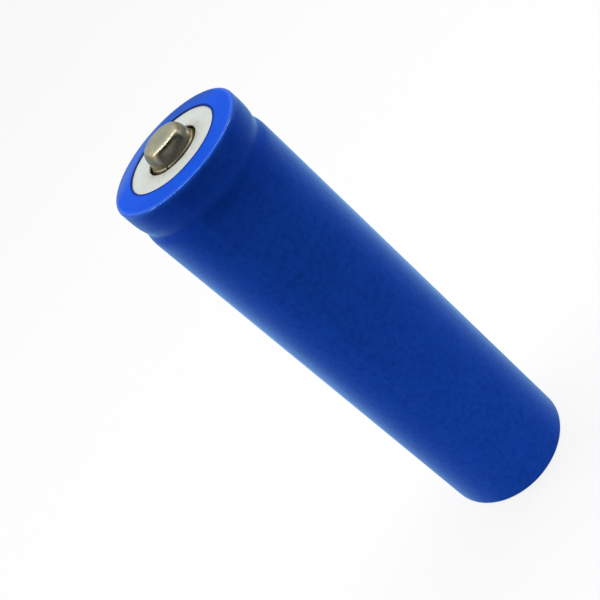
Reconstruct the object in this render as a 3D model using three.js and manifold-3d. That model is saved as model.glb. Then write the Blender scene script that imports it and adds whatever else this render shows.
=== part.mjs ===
// Protected button-top cylindrical lithium-ion cell, 18650 size.
// Millimetres. +Z runs along the axis towards the positive button.
// The origin is the centre of the base, level with the sleeve's lower lip.
// Profiles and centrelines are lists of [r, z] points: radius from the axis, height.
import * as THREE from 'three';
import { mergeVertices } from 'three/addons/utils/BufferGeometryUtils.js';
import Module from 'manifold-3d';

const wasm = await Module();
wasm.setup();

const { degToRad } = THREE.MathUtils;

// Facets round the large shells, the inner parts, the winding tape and the holes.
const SHELL_SEG = 48;
const PART_SEG = 36;
const TAPE_SEG = 40;
const HOLE_SEG = 12;

// ---------------------------------------------------------------- materials
// Mesh name: [colour, roughness, metalness]
const FINISHES = {
  outer_sleeve: [0x1d4fd8, 0.28, 0.0],
  insulator_ring: [0xe4e4d9, 0.85, 0.0],
  button_cap: [0xb9b5a4, 0.25, 1.0],
  cell_can: [0xc9ccd0, 0.30, 1.0],
  sealing_gasket: [0x2b2f33, 0.6, 0.0],
  header_cap: [0xc4c1b4, 0.28, 1.0],
  ptc_ring: [0x3c3a38, 0.6, 0.1],
  vent_disc: [0xd5d8da, 0.35, 1.0],
  vent_dome: [0xd9dcde, 0.3, 1.0],
  cid_insulator_ring: [0xe9e6dc, 0.6, 0.0],
  cid_base_plate: [0xcfd2d4, 0.4, 1.0],
  cathode_tab: [0xd9dbdc, 0.35, 1.0],
  top_insulator_disc: [0x8ec6e0, 0.5, 0.0],
  anode_sheet: [0x33363a, 0.8, 0.1],
  separator_inner: [0xf0f0ee, 0.5, 0.0],
  cathode_sheet: [0x1f2022, 0.85, 0.1],
  separator_outer: [0xf0f0ee, 0.5, 0.0],
  winding_tape: [0xd8b13a, 0.45, 0.0],
  centre_pin: [0xb8bcc0, 0.35, 1.0],
  anode_tab: [0xbfc1c0, 0.3, 1.0],
  bottom_insulator_disc: [0x8ec6e0, 0.5, 0.0],
  strip_tape: [0xd9a520, 0.4, 0.0],
  positive_strip: [0xc6c4bb, 0.3, 1.0],
  bottom_contact_disc: [0xc7c4b8, 0.25, 1.0],
  protection_board: [0x0f6b3c, 0.45, 0.0],
  board_insulator_disc: [0xcfd6c8, 0.8, 0.0],
  negative_link: [0xc6c4bb, 0.3, 1.0],
  switch_chip: [0x17181a, 0.5, 0.0],
  guard_chip: [0x17181a, 0.5, 0.0],
  resistor_a: [0x101114, 0.5, 0.0],
  resistor_b: [0x101114, 0.5, 0.0],
  capacitor: [0xa98558, 0.5, 0.0],
};

// ------------------------------------------------------------------ helpers
const cell = new THREE.Group();
cell.name = 'cylindrical_battery_cell';

function add(name, geometry, parent = cell) {
  const [color, roughness, metalness] = FINISHES[name];
  const material = new THREE.MeshStandardMaterial({ color, roughness, metalness });
  const mesh = new THREE.Mesh(geometry, material);
  mesh.name = name;
  parent.add(mesh);
  return mesh;
}

// Group turned about the axis, for parts drawn along +X.
function turnedGroup(degrees) {
  const group = new THREE.Group();
  group.rotation.z = degToRad(degrees);
  cell.add(group);
  return group;
}

// Leaves one closed, outward-facing shell, without UVs and with smooth normals.
function shell(geometry) {
  geometry.deleteAttribute('normal');
  geometry.deleteAttribute('uv');
  const merged = mergeVertices(geometry, 1e-5);
  const index = merged.index.array;
  const corners = [0, 1, 2].map(() => new THREE.Vector3());
  const kept = [];
  let volume = 0;
  for (let i = 0; i < index.length; i += 3) {
    const face = [index[i], index[i + 1], index[i + 2]];
    if (new Set(face).size < 3) continue;
    face.forEach((vertex, k) => corners[k].fromBufferAttribute(merged.attributes.position, vertex));
    volume += corners[0].dot(corners[1].cross(corners[2])) / 6;
    kept.push(...face);
  }
  if (volume < 0) {
    for (let i = 0; i < kept.length; i += 3) [kept[i], kept[i + 1]] = [kept[i + 1], kept[i]];
  }
  merged.setIndex(kept);
  merged.computeVertexNormals();
  return merged;
}

function solid(geometry) {
  const closed = shell(geometry);
  return new wasm.Manifold(new wasm.Mesh({
    numProp: 3,
    vertProperties: new Float32Array(closed.attributes.position.array),
    triVerts: new Uint32Array(closed.index.array),
  }));
}

function fromSolid(body) {
  const mesh = body.getMesh();
  const geometry = new THREE.BufferGeometry();
  const positions = new Float32Array(mesh.vertProperties);
  geometry.setAttribute('position', new THREE.BufferAttribute(positions, 3));
  geometry.setIndex(new THREE.BufferAttribute(new Uint32Array(mesh.triVerts), 1));
  return shell(geometry);
}

// Revolves a profile round +Z. A profile that leaves the axis closes on itself.
function revolve(profile, segments = PART_SEG) {
  const points = profile.map(([r, z]) => new THREE.Vector2(r, z));
  const onAxis = profile[0][0] === 0 && profile.at(-1)[0] === 0;
  if (!onAxis) points.push(points[0].clone());
  const geometry = new THREE.LatheGeometry(points, segments);
  geometry.rotateX(Math.PI / 2);
  return shell(geometry);
}

// Rectangular profile of a flat ring, or of a disc when the inner radius is 0.
function flat({ inner = 0, outer, low, high }) {
  return [[inner, low], [outer, low], [outer, high], [inner, high]];
}

// Quarter-round profile from a flat base at baseZ up to a wall at wallR.
function baseCorner(wallR, baseZ, radius, steps) {
  const points = [];
  for (let i = 0; i <= steps; i++) {
    const angle = degToRad(-90 + 90 * i / steps);
    points.push([
      wallR - radius + radius * Math.cos(angle),
      baseZ + radius + radius * Math.sin(angle),
    ]);
  }
  return points;
}

function direction(from, to) {
  const length = Math.hypot(to[0] - from[0], to[1] - from[1]);
  return [(to[0] - from[0]) / length, (to[1] - from[1]) / length];
}

// Moves an open polyline sideways (left of travel), with mitred corners.
function offsetLine(line, distance) {
  const last = line.length - 1;
  return line.map((point, i) => {
    const before = i > 0 ? direction(line[i - 1], point) : direction(point, line[1]);
    const after = i < last ? direction(point, line[i + 1]) : before;
    let normalR = -(before[1] + after[1]);
    let normalZ = before[0] + after[0];
    const length = Math.hypot(normalR, normalZ);
    normalR /= length;
    normalZ /= length;
    const cosine = -before[1] * normalR + before[0] * normalZ;
    return [point[0] + normalR * distance / cosine, point[1] + normalZ * distance / cosine];
  });
}

// Thin band of sheet: a centreline given a thickness, then a width across it.
// Seen from above it bows round the axis, with a bow radius of at least MIN_BOW_R.
const MIN_BOW_R = 5;
function band(line, { thickness, width, cuts }) {
  const left = offsetLine(line, thickness / 2);
  const right = offsetLine(line, -thickness / 2).reverse();
  const shape = new THREE.Shape([...left, ...right].map(([r, z]) => new THREE.Vector2(r, z)));
  const geometry = new THREE.ExtrudeGeometry(shape, { depth: 1, steps: cuts, bevelEnabled: false });
  const position = geometry.attributes.position;
  for (let i = 0; i < position.count; i++) {
    const r = position.getX(i);
    const z = position.getY(i);
    const y = (position.getZ(i) - 0.5) * width;
    const bow = Math.max(r, MIN_BOW_R);
    position.setXYZ(i, r - (bow - Math.sqrt(bow * bow - y * y)), y, z);
  }
  return shell(geometry);
}

// Extrudes an outline in the XY plane straight up between two heights.
function prism(outline, low, high) {
  const shape = new THREE.Shape(outline.map(([x, y]) => new THREE.Vector2(x, y)));
  const options = { depth: high - low, steps: 1, bevelEnabled: false };
  const geometry = new THREE.ExtrudeGeometry(shape, options);
  geometry.translate(0, 0, low);
  return shell(geometry);
}

// Box centred on x, y and standing on height low.
function box([width, depth, height], [x, y, low]) {
  const geometry = new THREE.BoxGeometry(width, depth, height);
  geometry.translate(x, y, low + height / 2);
  return geometry;
}

function polar(radius, degrees) {
  const angle = degToRad(degrees);
  return [radius * Math.cos(angle), radius * Math.sin(angle)];
}

// Revolved profile with evenly spaced round holes, centred on a circle of radius ringR.
function pierced(profile, { count, start = 0, ringR, radius, low, high }) {
  let body = solid(revolve(profile));
  for (let i = 0; i < count; i++) {
    const hole = new THREE.CylinderGeometry(radius, radius, high - low, HOLE_SEG);
    hole.rotateX(Math.PI / 2);
    hole.translate(...polar(ringR, start + 360 * i / count), (low + high) / 2);
    body = body.subtract(solid(hole));
  }
  return fromSolid(body);
}

// ------------------------------------------------------------- outer sleeve
const SLEEVE_R = 9.30;          // outer radius of the finished cell
const SLEEVE_T = 0.10;          // heat-shrink wall
const SLEEVE_LIP_R = 6.35;      // inner edge of the lip, both ends
const FACE_Z = 67.60;           // top of the upper lip
const SHOULDER_Z = 67.21;       // outer edge of the upper lip
const SLEEVE_CORNER = 0.75;     // rounding at the base
const GROOVE_Z = 63.15;         // middle of the can's groove

// Outer skin from the lower lip to the upper lip; the wall lies inside it.
// The sleeve bridges the can's groove, so it dips only a little.
const sleeveOuter = [
  [SLEEVE_LIP_R, 0],
  ...baseCorner(SLEEVE_R, 0, SLEEVE_CORNER, 5),
  [SLEEVE_R, 61.2],
  [SLEEVE_R - 0.05, 62.0],
  [SLEEVE_R - 0.19, 62.7],
  [SLEEVE_R - 0.24, GROOVE_Z],
  [SLEEVE_R - 0.19, 63.6],
  [SLEEVE_R - 0.08, 64.3],
  [SLEEVE_R - 0.06, 66.8],
  [SLEEVE_R - 0.11, 67.03],
  [SLEEVE_R - 0.22, 67.16],
  [SLEEVE_R - 0.38, SHOULDER_Z],
  [SLEEVE_LIP_R, FACE_Z],
];
const sleeveInner = offsetLine(sleeveOuter, SLEEVE_T).reverse();
add('outer_sleeve', revolve([...sleeveOuter, ...sleeveInner], SHELL_SEG));

// ----------------------------------------------------------- insulator ring
const RING_HOLE_R = 3.60;
const RING_R = 8.50;
add('insulator_ring', revolve([
  [RING_HOLE_R, 67.17], [6.40, 67.17], [RING_R, 66.87],
  [RING_R, 67.11], [6.45, 67.42], [RING_HOLE_R, 67.42],
], SHELL_SEG));

// --------------------------------------------------------------- button cap
const BUTTON_TOP_Z = 69.60;     // total height
const BUTTON_R = 3.10;
const BUTTON_WALL = 0.25;
const FLANGE_R = 4.60;
const FLANGE_Z = 66.61;         // underside of the flange
const VENT_SIZE = [0.95, 1.15, 0.74];   // radial, across, height
const VENT_PLACE = [3.34, 0, FLANGE_Z - 0.06];

// Flat crown, round shoulder, slightly tapered wall, then the foot radius.
const crown = [
  [0, BUTTON_TOP_Z],
  [1.95, BUTTON_TOP_Z],
  [2.32, BUTTON_TOP_Z - 0.11],
  [2.61, BUTTON_TOP_Z - 0.34],
  [2.80, BUTTON_TOP_Z - 0.68],
  [2.90, BUTTON_TOP_Z - 1.10],
  [3.03, 67.70],
  [BUTTON_R, 67.50],
  [BUTTON_R + 0.09, 67.38],
  [BUTTON_R + 0.23, 67.25],
  [BUTTON_R + 0.42, 67.03],
  [BUTTON_R + 0.60, 66.89],
  [3.90, 66.82],
];
// The inner skin stops at the flange's underside.
const crownInner = offsetLine(crown, -BUTTON_WALL).map(([r, z]) => [r, Math.max(z, FLANGE_Z)]);
let button = solid(revolve([
  ...crown,
  [FLANGE_R - 0.05, FLANGE_Z + 0.20],
  [FLANGE_R, FLANGE_Z + 0.15],
  [FLANGE_R, FLANGE_Z],
  ...crownInner.reverse(),
]));
for (const degrees of [0, 90, 180, 270]) {
  const vent = box(VENT_SIZE, VENT_PLACE);
  vent.rotateZ(degToRad(degrees));
  button = button.subtract(solid(vent));
}
add('button_cap', fromSolid(button));

// ----------------------------------------------------------------- cell can
const CAN_R = 9.01;
const CAN_T = 0.25;
const CAN_BASE_Z = 2.75;
const CAN_CORNER = 0.9;         // rounding at the base
const GROOVE_R = 8.02;
const CAN_BAND_R = 8.90;        // crimped band above the groove
const CAN_LIP_Z = 66.60;        // top of the crimped lip
const CAN_LIP_R = 7.10;         // inner edge of the crimped lip

const canOuter = [
  [0, CAN_BASE_Z],
  ...baseCorner(CAN_R, CAN_BASE_Z, CAN_CORNER, 3),
  [CAN_R, 60.90],
  [8.93, 61.60],
  [8.68, 62.20],
  [GROOVE_R + 0.08, 62.80],
  [GROOVE_R, GROOVE_Z],
  [GROOVE_R + 0.08, 63.50],
  [8.64, 64.00],
  [CAN_BAND_R, 64.25],
  [CAN_BAND_R, CAN_LIP_Z - 0.32],
  [CAN_BAND_R - 0.10, CAN_LIP_Z - 0.10],
  [CAN_BAND_R - 0.32, CAN_LIP_Z],
  [CAN_LIP_R, CAN_LIP_Z],
];
const canInner = offsetLine(canOuter, CAN_T);
canInner[0] = [0, CAN_BASE_Z + CAN_T];   // exactly on the axis, so the base closes
add('cell_can', revolve([...canOuter, ...canInner.reverse()], SHELL_SEG));

// -------------------------------------------------------------- header stack
const STACK_R = 8.10;           // header stack inside the gasket
const DOME_R = 2.65;            // moving centre of the vent disc
const DOME_GAP = 0.08;          // open score line round the dome
const VENT_HOLE_R = DOME_R + DOME_GAP;
const HEADER_HOLES = { count: 4, start: 20, ringR: 5.28, radius: 0.55, low: 65.4, high: 66.8 };
const PTC_RING = { inner: 6.0, outer: STACK_R, low: 65.27, high: 65.57 };
const CID_RING = { inner: 5.0, outer: 7.5, low: 64.62, high: 64.93 };
const CID_PLATE = { outer: 7.4, low: 64.28, high: 64.58 };
const CID_HOLES = { count: 6, start: 30, ringR: 4.0, radius: 0.85, low: 64.0, high: 65.0 };

add('sealing_gasket', revolve([
  [8.60, 64.36], [8.60, 66.00], [8.50, 66.31], [6.90, 66.31], [6.90, 66.03],
  [8.15, 66.03], [8.15, 64.62], [7.60, 64.62], [7.60, 64.30], [8.20, 64.16],
]));

add('header_cap', pierced([
  [0, 66.45], [5.10, 66.45], [5.32, 66.38], [5.60, 65.98], [STACK_R, 65.97],
  [STACK_R, 65.60], [5.32, 65.60], [5.02, 66.10], [0, 66.10],
], HEADER_HOLES));

add('ptc_ring', revolve(flat(PTC_RING)));

add('vent_disc', revolve([
  [VENT_HOLE_R, 64.74], [4.9, 64.96], [STACK_R, 64.96], [STACK_R, 65.24],
  [4.86, 65.24], [VENT_HOLE_R, 64.98],
]));

// Centre of the vent disc. It snaps upwards, off the plate it is welded to.
add('vent_dome', revolve([
  [0, 64.62], [0.7, 64.62], [1.2, 64.66], [DOME_R, 64.76], [DOME_R, 65.00],
  [1.2, 64.90], [0.7, 64.86], [0, 64.86],
]));

add('cid_insulator_ring', revolve(flat(CID_RING)));
add('cid_base_plate', pierced(flat(CID_PLATE), CID_HOLES));

// ------------------------------------------- cathode tab and top insulator
const CATHODE_TAB_ANGLE = 40;
add('cathode_tab', band([
  [2.06, 52.0], [2.06, 62.1], [2.6, 62.6], [5.9, 62.8],
  [6.2, 63.1], [6.0, 63.6], [2.0, 64.16], [0.4, 64.18],
], { thickness: 0.12, width: 2.4, cuts: 2 }), turnedGroup(CATHODE_TAB_ANGLE));

const TOP_DISC = { inner: 2.35, outer: 8.60, low: 61.30, high: 61.50 };
const TOP_DISC_HOLES = { count: 5, ringR: 5.4, radius: 0.9, low: 61, high: 62 };
add('top_insulator_disc', pierced(flat(TOP_DISC), TOP_DISC_HOLES));

// ------------------------------------------------------------------- winding
const ROLL_R0 = 2.45;           // inner radius of the winding
const ROLL_TURNS = 8;
const ROLL_STEP = 24;           // degrees per facet
const ROLL_LOW = 3.55;
const ROLL_HIGH = 61.05;
const ELECTRODE_T = 0.24;
const SEPARATOR_T = 0.05;
const LAYER_GAP = 0.02;
const ROLL_PITCH = 2 * (ELECTRODE_T + SEPARATOR_T + 2 * LAYER_GAP);
const ELECTRODE_PITCH = ELECTRODE_T + LAYER_GAP;
const SEPARATOR_PITCH = SEPARATOR_T + LAYER_GAP;
const WINDING_TAPE = { inner: 8.58, outer: 8.64, low: 8.0, high: 58.0 };

// One layer: a spiral sheet, its ends set in from those of the winding by inset.
function spiral(offset, thickness, inset) {
  const steps = ROLL_TURNS * 360 / ROLL_STEP;
  const pointAt = (i, extra) => {
    const angle = degToRad(i * ROLL_STEP);
    const radius = ROLL_R0 + offset + extra + ROLL_PITCH * angle / (2 * Math.PI);
    return [radius * Math.cos(angle), radius * Math.sin(angle)];
  };
  const outline = [];
  for (let i = 0; i <= steps; i++) outline.push(pointAt(i, 0));
  for (let i = steps; i >= 0; i--) outline.push(pointAt(i, thickness));
  return prism(outline, ROLL_LOW + inset, ROLL_HIGH - inset);
}

// Name, radial offset, thickness, inset; from the inside out.
const LAYERS = [
  ['anode_sheet', 0, ELECTRODE_T, 0.6],
  ['separator_inner', ELECTRODE_PITCH, SEPARATOR_T, 0],
  ['cathode_sheet', ELECTRODE_PITCH + SEPARATOR_PITCH, ELECTRODE_T, 1.1],
  ['separator_outer', 2 * ELECTRODE_PITCH + SEPARATOR_PITCH, SEPARATOR_T, 0],
];
for (const [name, offset, thickness, inset] of LAYERS) {
  add(name, spiral(offset, thickness, inset));
}
add('winding_tape', revolve(flat(WINDING_TAPE), TAPE_SEG));

// Slit steel tube up the core.
const PIN = { outer: 1.75, inner: 1.50, low: 3.7, high: 60.7, halfSlit: 12, steps: 20 };
const pinOuter = [];
const pinInner = [];
for (let i = 0; i <= PIN.steps; i++) {
  const degrees = PIN.halfSlit + (360 - 2 * PIN.halfSlit) * i / PIN.steps;
  pinOuter.push(polar(PIN.outer, degrees));
  pinInner.push(polar(PIN.inner, degrees));
}
add('centre_pin', prism([...pinOuter, ...pinInner.reverse()], PIN.low, PIN.high));

// ---------------------------------------- anode tab and bottom insulator
const ANODE_TAB_ANGLE = 160;
add('anode_tab', band([
  [-1.6, 3.10], [7.9, 3.10], [8.40, 3.45], [8.48, 3.9], [8.48, 13.0],
], { thickness: 0.10, width: 3.0, cuts: 2 }), turnedGroup(ANODE_TAB_ANGLE));

const LOW_DISC = { outer: 7.75, low: 3.24, high: 3.42 };
const LOW_DISC_HOLE = { count: 1, ringR: 0, radius: 1.1, low: 3, high: 4 };
add('bottom_insulator_disc', pierced(flat(LOW_DISC), LOW_DISC_HOLE));

// ------------------------------------------- strip from the button to the board
const STRIP_ANGLE = -99;        // side of the cell the strip runs down
const JOINT_Z = 1.345;          // centreline of the strip and the link on the board
const side = turnedGroup(STRIP_ANGLE);
add('strip_tape', band([
  [9.055, 2.95], [9.055, 60.9], [8.98, 61.6], [8.77, 62.2], [8.56, 62.7], [8.56, 63.4],
  [8.80, 63.86], [8.95, 64.22], [8.95, 66.34], [8.84, 66.57], [8.62, 66.65], [6.60, 66.65],
], { thickness: 0.03, width: 5.30, cuts: 6 }), side);
add('positive_strip', band([
  [6.60, JOINT_Z], [8.62, JOINT_Z], [8.98, 1.62], [9.13, 2.1], [9.13, 60.9], [9.06, 61.6],
  [8.94, 62.2], [8.76, 62.75], [8.74, 63.4], [8.96, 63.9], [9.05, 64.3], [9.05, 66.38],
  [8.90, 66.66], [8.62, 66.745], [6.40, 66.745], [5.70, 66.53], [3.75, 66.53],
], { thickness: 0.07, width: 3.80, cuts: 4 }), side);

// --------------------------------------------------------- board at the base
const BOARD = { outer: 8.40, low: 0.46, high: 1.26 };
const PAPER = { outer: 8.85, low: 2.42, high: 2.57 };
const PAPER_SLOT_SIZE = [3.2, 2.2, 1];
const PAPER_SLOT_PLACE = [0, 5.2, 2];
const LINK_ANGLE = 90;

add('bottom_contact_disc', revolve([
  [0, 0.10], [6.10, 0.10], [6.22, 0.17], [7.75, 0.17], [7.75, 0.42], [0, 0.42],
]));
add('protection_board', revolve(flat(BOARD), SHELL_SEG));

const paper = solid(revolve(flat(PAPER), SHELL_SEG));
const paperSlot = solid(box(PAPER_SLOT_SIZE, PAPER_SLOT_PLACE));
add('board_insulator_disc', fromSolid(paper.subtract(paperSlot)));

add('negative_link', band([
  [1.2, 2.67], [4.55, 2.67], [4.85, 2.45], [4.95, 1.6], [5.25, JOINT_Z], [7.6, JOINT_Z],
], { thickness: 0.08, width: 2.2, cuts: 2 }), turnedGroup(LINK_ANGLE));

// ------------------------------------------------------ parts on the board
const ON_BOARD = BOARD.high + 0.02;
const CHIP_LIFT = 0.06;         // gap under a chip's body
const LEAD_SPAN = 0.8;          // share of the chip's width the leads spread over
// The two blocks of a lead; out is from the body's side to the block's middle.
const LEAD_BLOCKS = [
  { depth: 0.62, height: 0.14, out: 0.42, lift: 0 },      // foot
  { depth: 0.42, height: 0.42, out: 0.10, lift: 0.06 },   // rise
];
const PASSIVE_W = 1.6;
const PASSIVE_D = 0.8;

function addOnBoard(name, geometry, [x, y], degrees) {
  const mesh = add(name, geometry);
  mesh.position.set(x, y, 0);
  mesh.rotation.z = degToRad(degrees);
}

// Chip with a row of leads along each of its two sides.
function chip({ size: [width, depth, height], leads, leadWidth }) {
  let body = solid(box([width, depth, height - CHIP_LIFT], [0, 0, ON_BOARD + CHIP_LIFT]));
  for (let i = 0; i < leads; i++) {
    const x = (i - (leads - 1) / 2) * (width * LEAD_SPAN / (leads - 1));
    for (const sign of [-1, 1]) {
      for (const block of LEAD_BLOCKS) {
        const place = [x, sign * (depth / 2 + block.out), ON_BOARD + block.lift];
        body = body.add(solid(box([leadWidth, block.depth, block.height], place)));
      }
    }
  }
  return fromSolid(body);
}
const SWITCH_CHIP = { size: [3.0, 4.4, 1.0], leads: 4, leadWidth: 0.30 };
const GUARD_CHIP = { size: [2.9, 1.6, 1.05], leads: 3, leadWidth: 0.34 };
addOnBoard('switch_chip', chip(SWITCH_CHIP), [3.2, 0.2], 0);
addOnBoard('guard_chip', chip(GUARD_CHIP), [-2.9, 1.4], 90);

// Name, height, [x, y], degrees
const PASSIVES = [
  ['resistor_a', 0.45, [-0.2, 2.6], 90],
  ['resistor_b', 0.45, [-5.2, 2.2], 90],
  ['capacitor', 0.80, [-4.2, -2.6], 0],
];
for (const [name, height, place, degrees] of PASSIVES) {
  const block = shell(box([PASSIVE_W, PASSIVE_D, height], [0, 0, ON_BOARD]));
  addOnBoard(name, block, place, degrees);
}

export default cell;
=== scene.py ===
# Protected cylindrical cell, standing on z = 0 with its axis on +Z and its button at the top.
# A round board sits under the can, and a nickel strip runs up the -Y side beneath the blue
# sleeve. Profiles are (radius, z) in millimetres, scaled to metres when a mesh is made.
# Angles are in degrees about +Z, from +X.
import itertools
import math
from functools import cached_property, reduce
from math import cos, radians, sin

import bmesh
import bpy
import numpy as np
from mathutils import Matrix, Vector


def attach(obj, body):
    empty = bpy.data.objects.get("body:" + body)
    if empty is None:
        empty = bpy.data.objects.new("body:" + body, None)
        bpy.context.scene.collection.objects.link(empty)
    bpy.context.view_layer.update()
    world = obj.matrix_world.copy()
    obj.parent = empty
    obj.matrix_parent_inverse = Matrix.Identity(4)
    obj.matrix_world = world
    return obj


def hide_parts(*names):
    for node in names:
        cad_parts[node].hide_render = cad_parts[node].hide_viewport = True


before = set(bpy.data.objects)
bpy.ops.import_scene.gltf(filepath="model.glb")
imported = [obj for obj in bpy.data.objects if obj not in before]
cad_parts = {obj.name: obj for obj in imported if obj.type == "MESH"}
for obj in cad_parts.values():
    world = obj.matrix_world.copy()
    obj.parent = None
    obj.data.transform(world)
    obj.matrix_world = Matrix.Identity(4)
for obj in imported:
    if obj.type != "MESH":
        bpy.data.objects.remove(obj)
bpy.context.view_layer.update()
scene = bpy.context.scene
MM = 0.001

# ---------------------------------------------------------------- dimensions
SLEEVE_RADIUS = 9.30
SLEEVE_THICKNESS = 0.10
SLEEVE_TOP = 67.60
LIP_RADIUS = 6.35  # free edge of the sleeve at both ends
BASE_CORNER = 0.75
GROOVE_Z = 63.15
RING_HOLE = 3.60
RING_RADIUS = 8.50
BUTTON_WALL = 0.25
BUTTON_SIDE_RADIUS = 3.0
FLANGE_RADIUS = 4.60
FLANGE_Z = 66.61  # underside of the button's flange
CAN_FLOOR = 2.75
CAN_WALL = 0.25
STRIP_ANGLE = -99.0
STRIP_WIDTH = 3.80
TAPE_WIDTH = 5.30
LINK_Z = 1.345  # centre of the strip and link where they meet the board
PARTS_Z = 1.28  # foot of the parts on the board


# ------------------------------------------------------------ smooth noise
def lattice_hash(ix, iy, iz, seed):
    """Repeatable numbers in 0..1 for whole-number lattice points."""
    mixed = (
        ix.astype(np.int64) * 374761393
        + iy.astype(np.int64) * 668265263
        + iz.astype(np.int64) * 2147483647
        + seed * 1274126177
    ) & 0xFFFFFFFF
    mixed = ((mixed ^ (mixed >> 13)) * 1274126177) & 0xFFFFFFFF
    mixed = mixed ^ (mixed >> 16)
    return (mixed & 0xFFFFFF) / float(0xFFFFFF)


def noise3(x, y, z, seed):
    """Value noise in -1..1 with smooth interpolation."""
    axes = np.broadcast_arrays(*(np.asarray(axis, float) for axis in (x, y, z)))
    cells = [np.floor(axis) for axis in axes]
    parts = [axis - cell for axis, cell in zip(axes, cells)]
    eased = [part * part * part * (part * (part * 6 - 15) + 10) for part in parts]
    total = 0
    for corner in itertools.product((0, 1), repeat=3):
        weight = math.prod(ease if far else 1 - ease for ease, far in zip(eased, corner))
        total = total + weight * lattice_hash(*(c + far for c, far in zip(cells, corner)), seed)
    return total * 2 - 1


def smooth(start, end, x):
    """Eases from 0 at start to 1 at end."""
    part = np.clip((np.asarray(x, float) - start) / (end - start), 0, 1)
    return part * part * (3 - 2 * part)


# ------------------------------------------------------------ outlines
def turned(x, y, angle):
    """x and y after a turn about +Z."""
    cosine, sine = cos(radians(angle)), sin(radians(angle))
    return x * cosine - y * sine, x * sine + y * cosine


def rounded(points, radius, steps=4, closed=True):
    """Rounds the corners of an outline. radius is one number or one per point."""
    count = len(points)
    radii = [radius] * count if np.isscalar(radius) else radius
    out = []
    for i, point in enumerate(points):
        corner = np.array(point, float)
        if not closed and i in (0, count - 1):
            out.append(tuple(corner))
            continue
        before = np.array(points[i - 1], float) - corner
        after = np.array(points[(i + 1) % count], float) - corner
        before_length, after_length = np.linalg.norm(before), np.linalg.norm(after)
        before, after = before / before_length, after / after_length
        angle = math.acos(max(-1, min(1, float(before @ after))))
        if radii[i] <= 0 or angle > radians(176):
            out.append(tuple(corner))
            continue
        trim = min(radii[i] / math.tan(angle / 2), 0.45 * before_length, 0.45 * after_length)
        fitted = trim * math.tan(angle / 2)
        middle = before + after
        centre = corner + middle / np.linalg.norm(middle) * (fitted / sin(angle / 2))
        start, end = corner + before * trim - centre, corner + after * trim - centre
        first = math.atan2(start[1], start[0])
        sweep = (math.atan2(end[1], end[0]) - first + math.pi) % (2 * math.pi) - math.pi
        for j in range(steps + 1):
            turn = first + sweep * j / steps
            out.append((centre[0] + fitted * cos(turn), centre[1] + fitted * sin(turn)))
    return out


def dense(points, step, closed=False):
    """Adds points so that no piece of the outline is longer than step."""
    line = list(points) + ([points[0]] if closed else [])
    out = []
    for start, end in zip(line[:-1], line[1:]):
        start, end = np.array(start, float), np.array(end, float)
        pieces = max(1, int(math.ceil(np.linalg.norm(end - start) / step)))
        for j in range(pieces):
            out.append(tuple(start + (end - start) * j / pieces))
    if not closed:
        out.append(tuple(line[-1]))
    return out


def offset_line(line, distance):
    """Moves an open polyline sideways (left of travel) with mitred corners."""
    points = np.array(line, float)
    ways = [step / np.linalg.norm(step) for step in np.diff(points, axis=0)]
    out = []
    for i, point in enumerate(points):
        before, after = ways[max(i - 1, 0)], ways[min(i, len(ways) - 1)]
        normal = np.array([-(before[1] + after[1]), before[0] + after[0]])
        normal /= np.linalg.norm(normal)
        mitre = max(0.3, float(-before[1] * normal[0] + before[0] * normal[1]))
        out.append(tuple(point + normal * distance / mitre))
    return out


def rectangle(inner, outer, low, high):
    return [(inner, low), (outer, low), (outer, high), (inner, high)]


def disc_outline(radius, low, high, corner, steps):
    return rounded(rectangle(0, radius, low, high), [0, corner, corner, 0], steps, closed=False)


# --------------------------------------------------------------- mesh makers
def shade(mesh, sharp):
    """Smooth shading, with edges sharper than the given angle kept crisp."""
    for polygon in mesh.polygons:
        polygon.use_smooth = True
    mesh.set_sharp_from_angle(angle=radians(sharp))


def add_object(name, mesh):
    obj = bpy.data.objects.new(name, mesh)
    scene.collection.objects.link(obj)
    return obj


def build(name, verts, faces, material, sharp, orient=True):
    """Makes an object; orient turns an inside-out mesh the right way round."""
    mesh = bpy.data.meshes.new(name)
    mesh.from_pydata([tuple(vert) for vert in verts], [], faces)
    mesh.update()
    bm = bmesh.new()
    bm.from_mesh(mesh)
    bmesh.ops.remove_doubles(bm, verts=bm.verts, dist=1e-8)
    if orient and bm.calc_volume(signed=True) < 0:
        bmesh.ops.reverse_faces(bm, faces=bm.faces)
    bm.to_mesh(mesh)
    bm.free()
    shade(mesh, sharp)
    mesh.materials.append(material)
    return add_object(name, mesh)


def agree_normals(obj, check_volume=False):
    """Makes the face normals agree, and outward by volume if asked."""
    bm = bmesh.new()
    bm.from_mesh(obj.data)
    bmesh.ops.recalc_face_normals(bm, faces=bm.faces)
    if check_volume and bm.calc_volume(signed=True) < 0:
        bmesh.ops.reverse_faces(bm, faces=bm.faces)
    bm.to_mesh(obj.data)
    bm.free()


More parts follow.
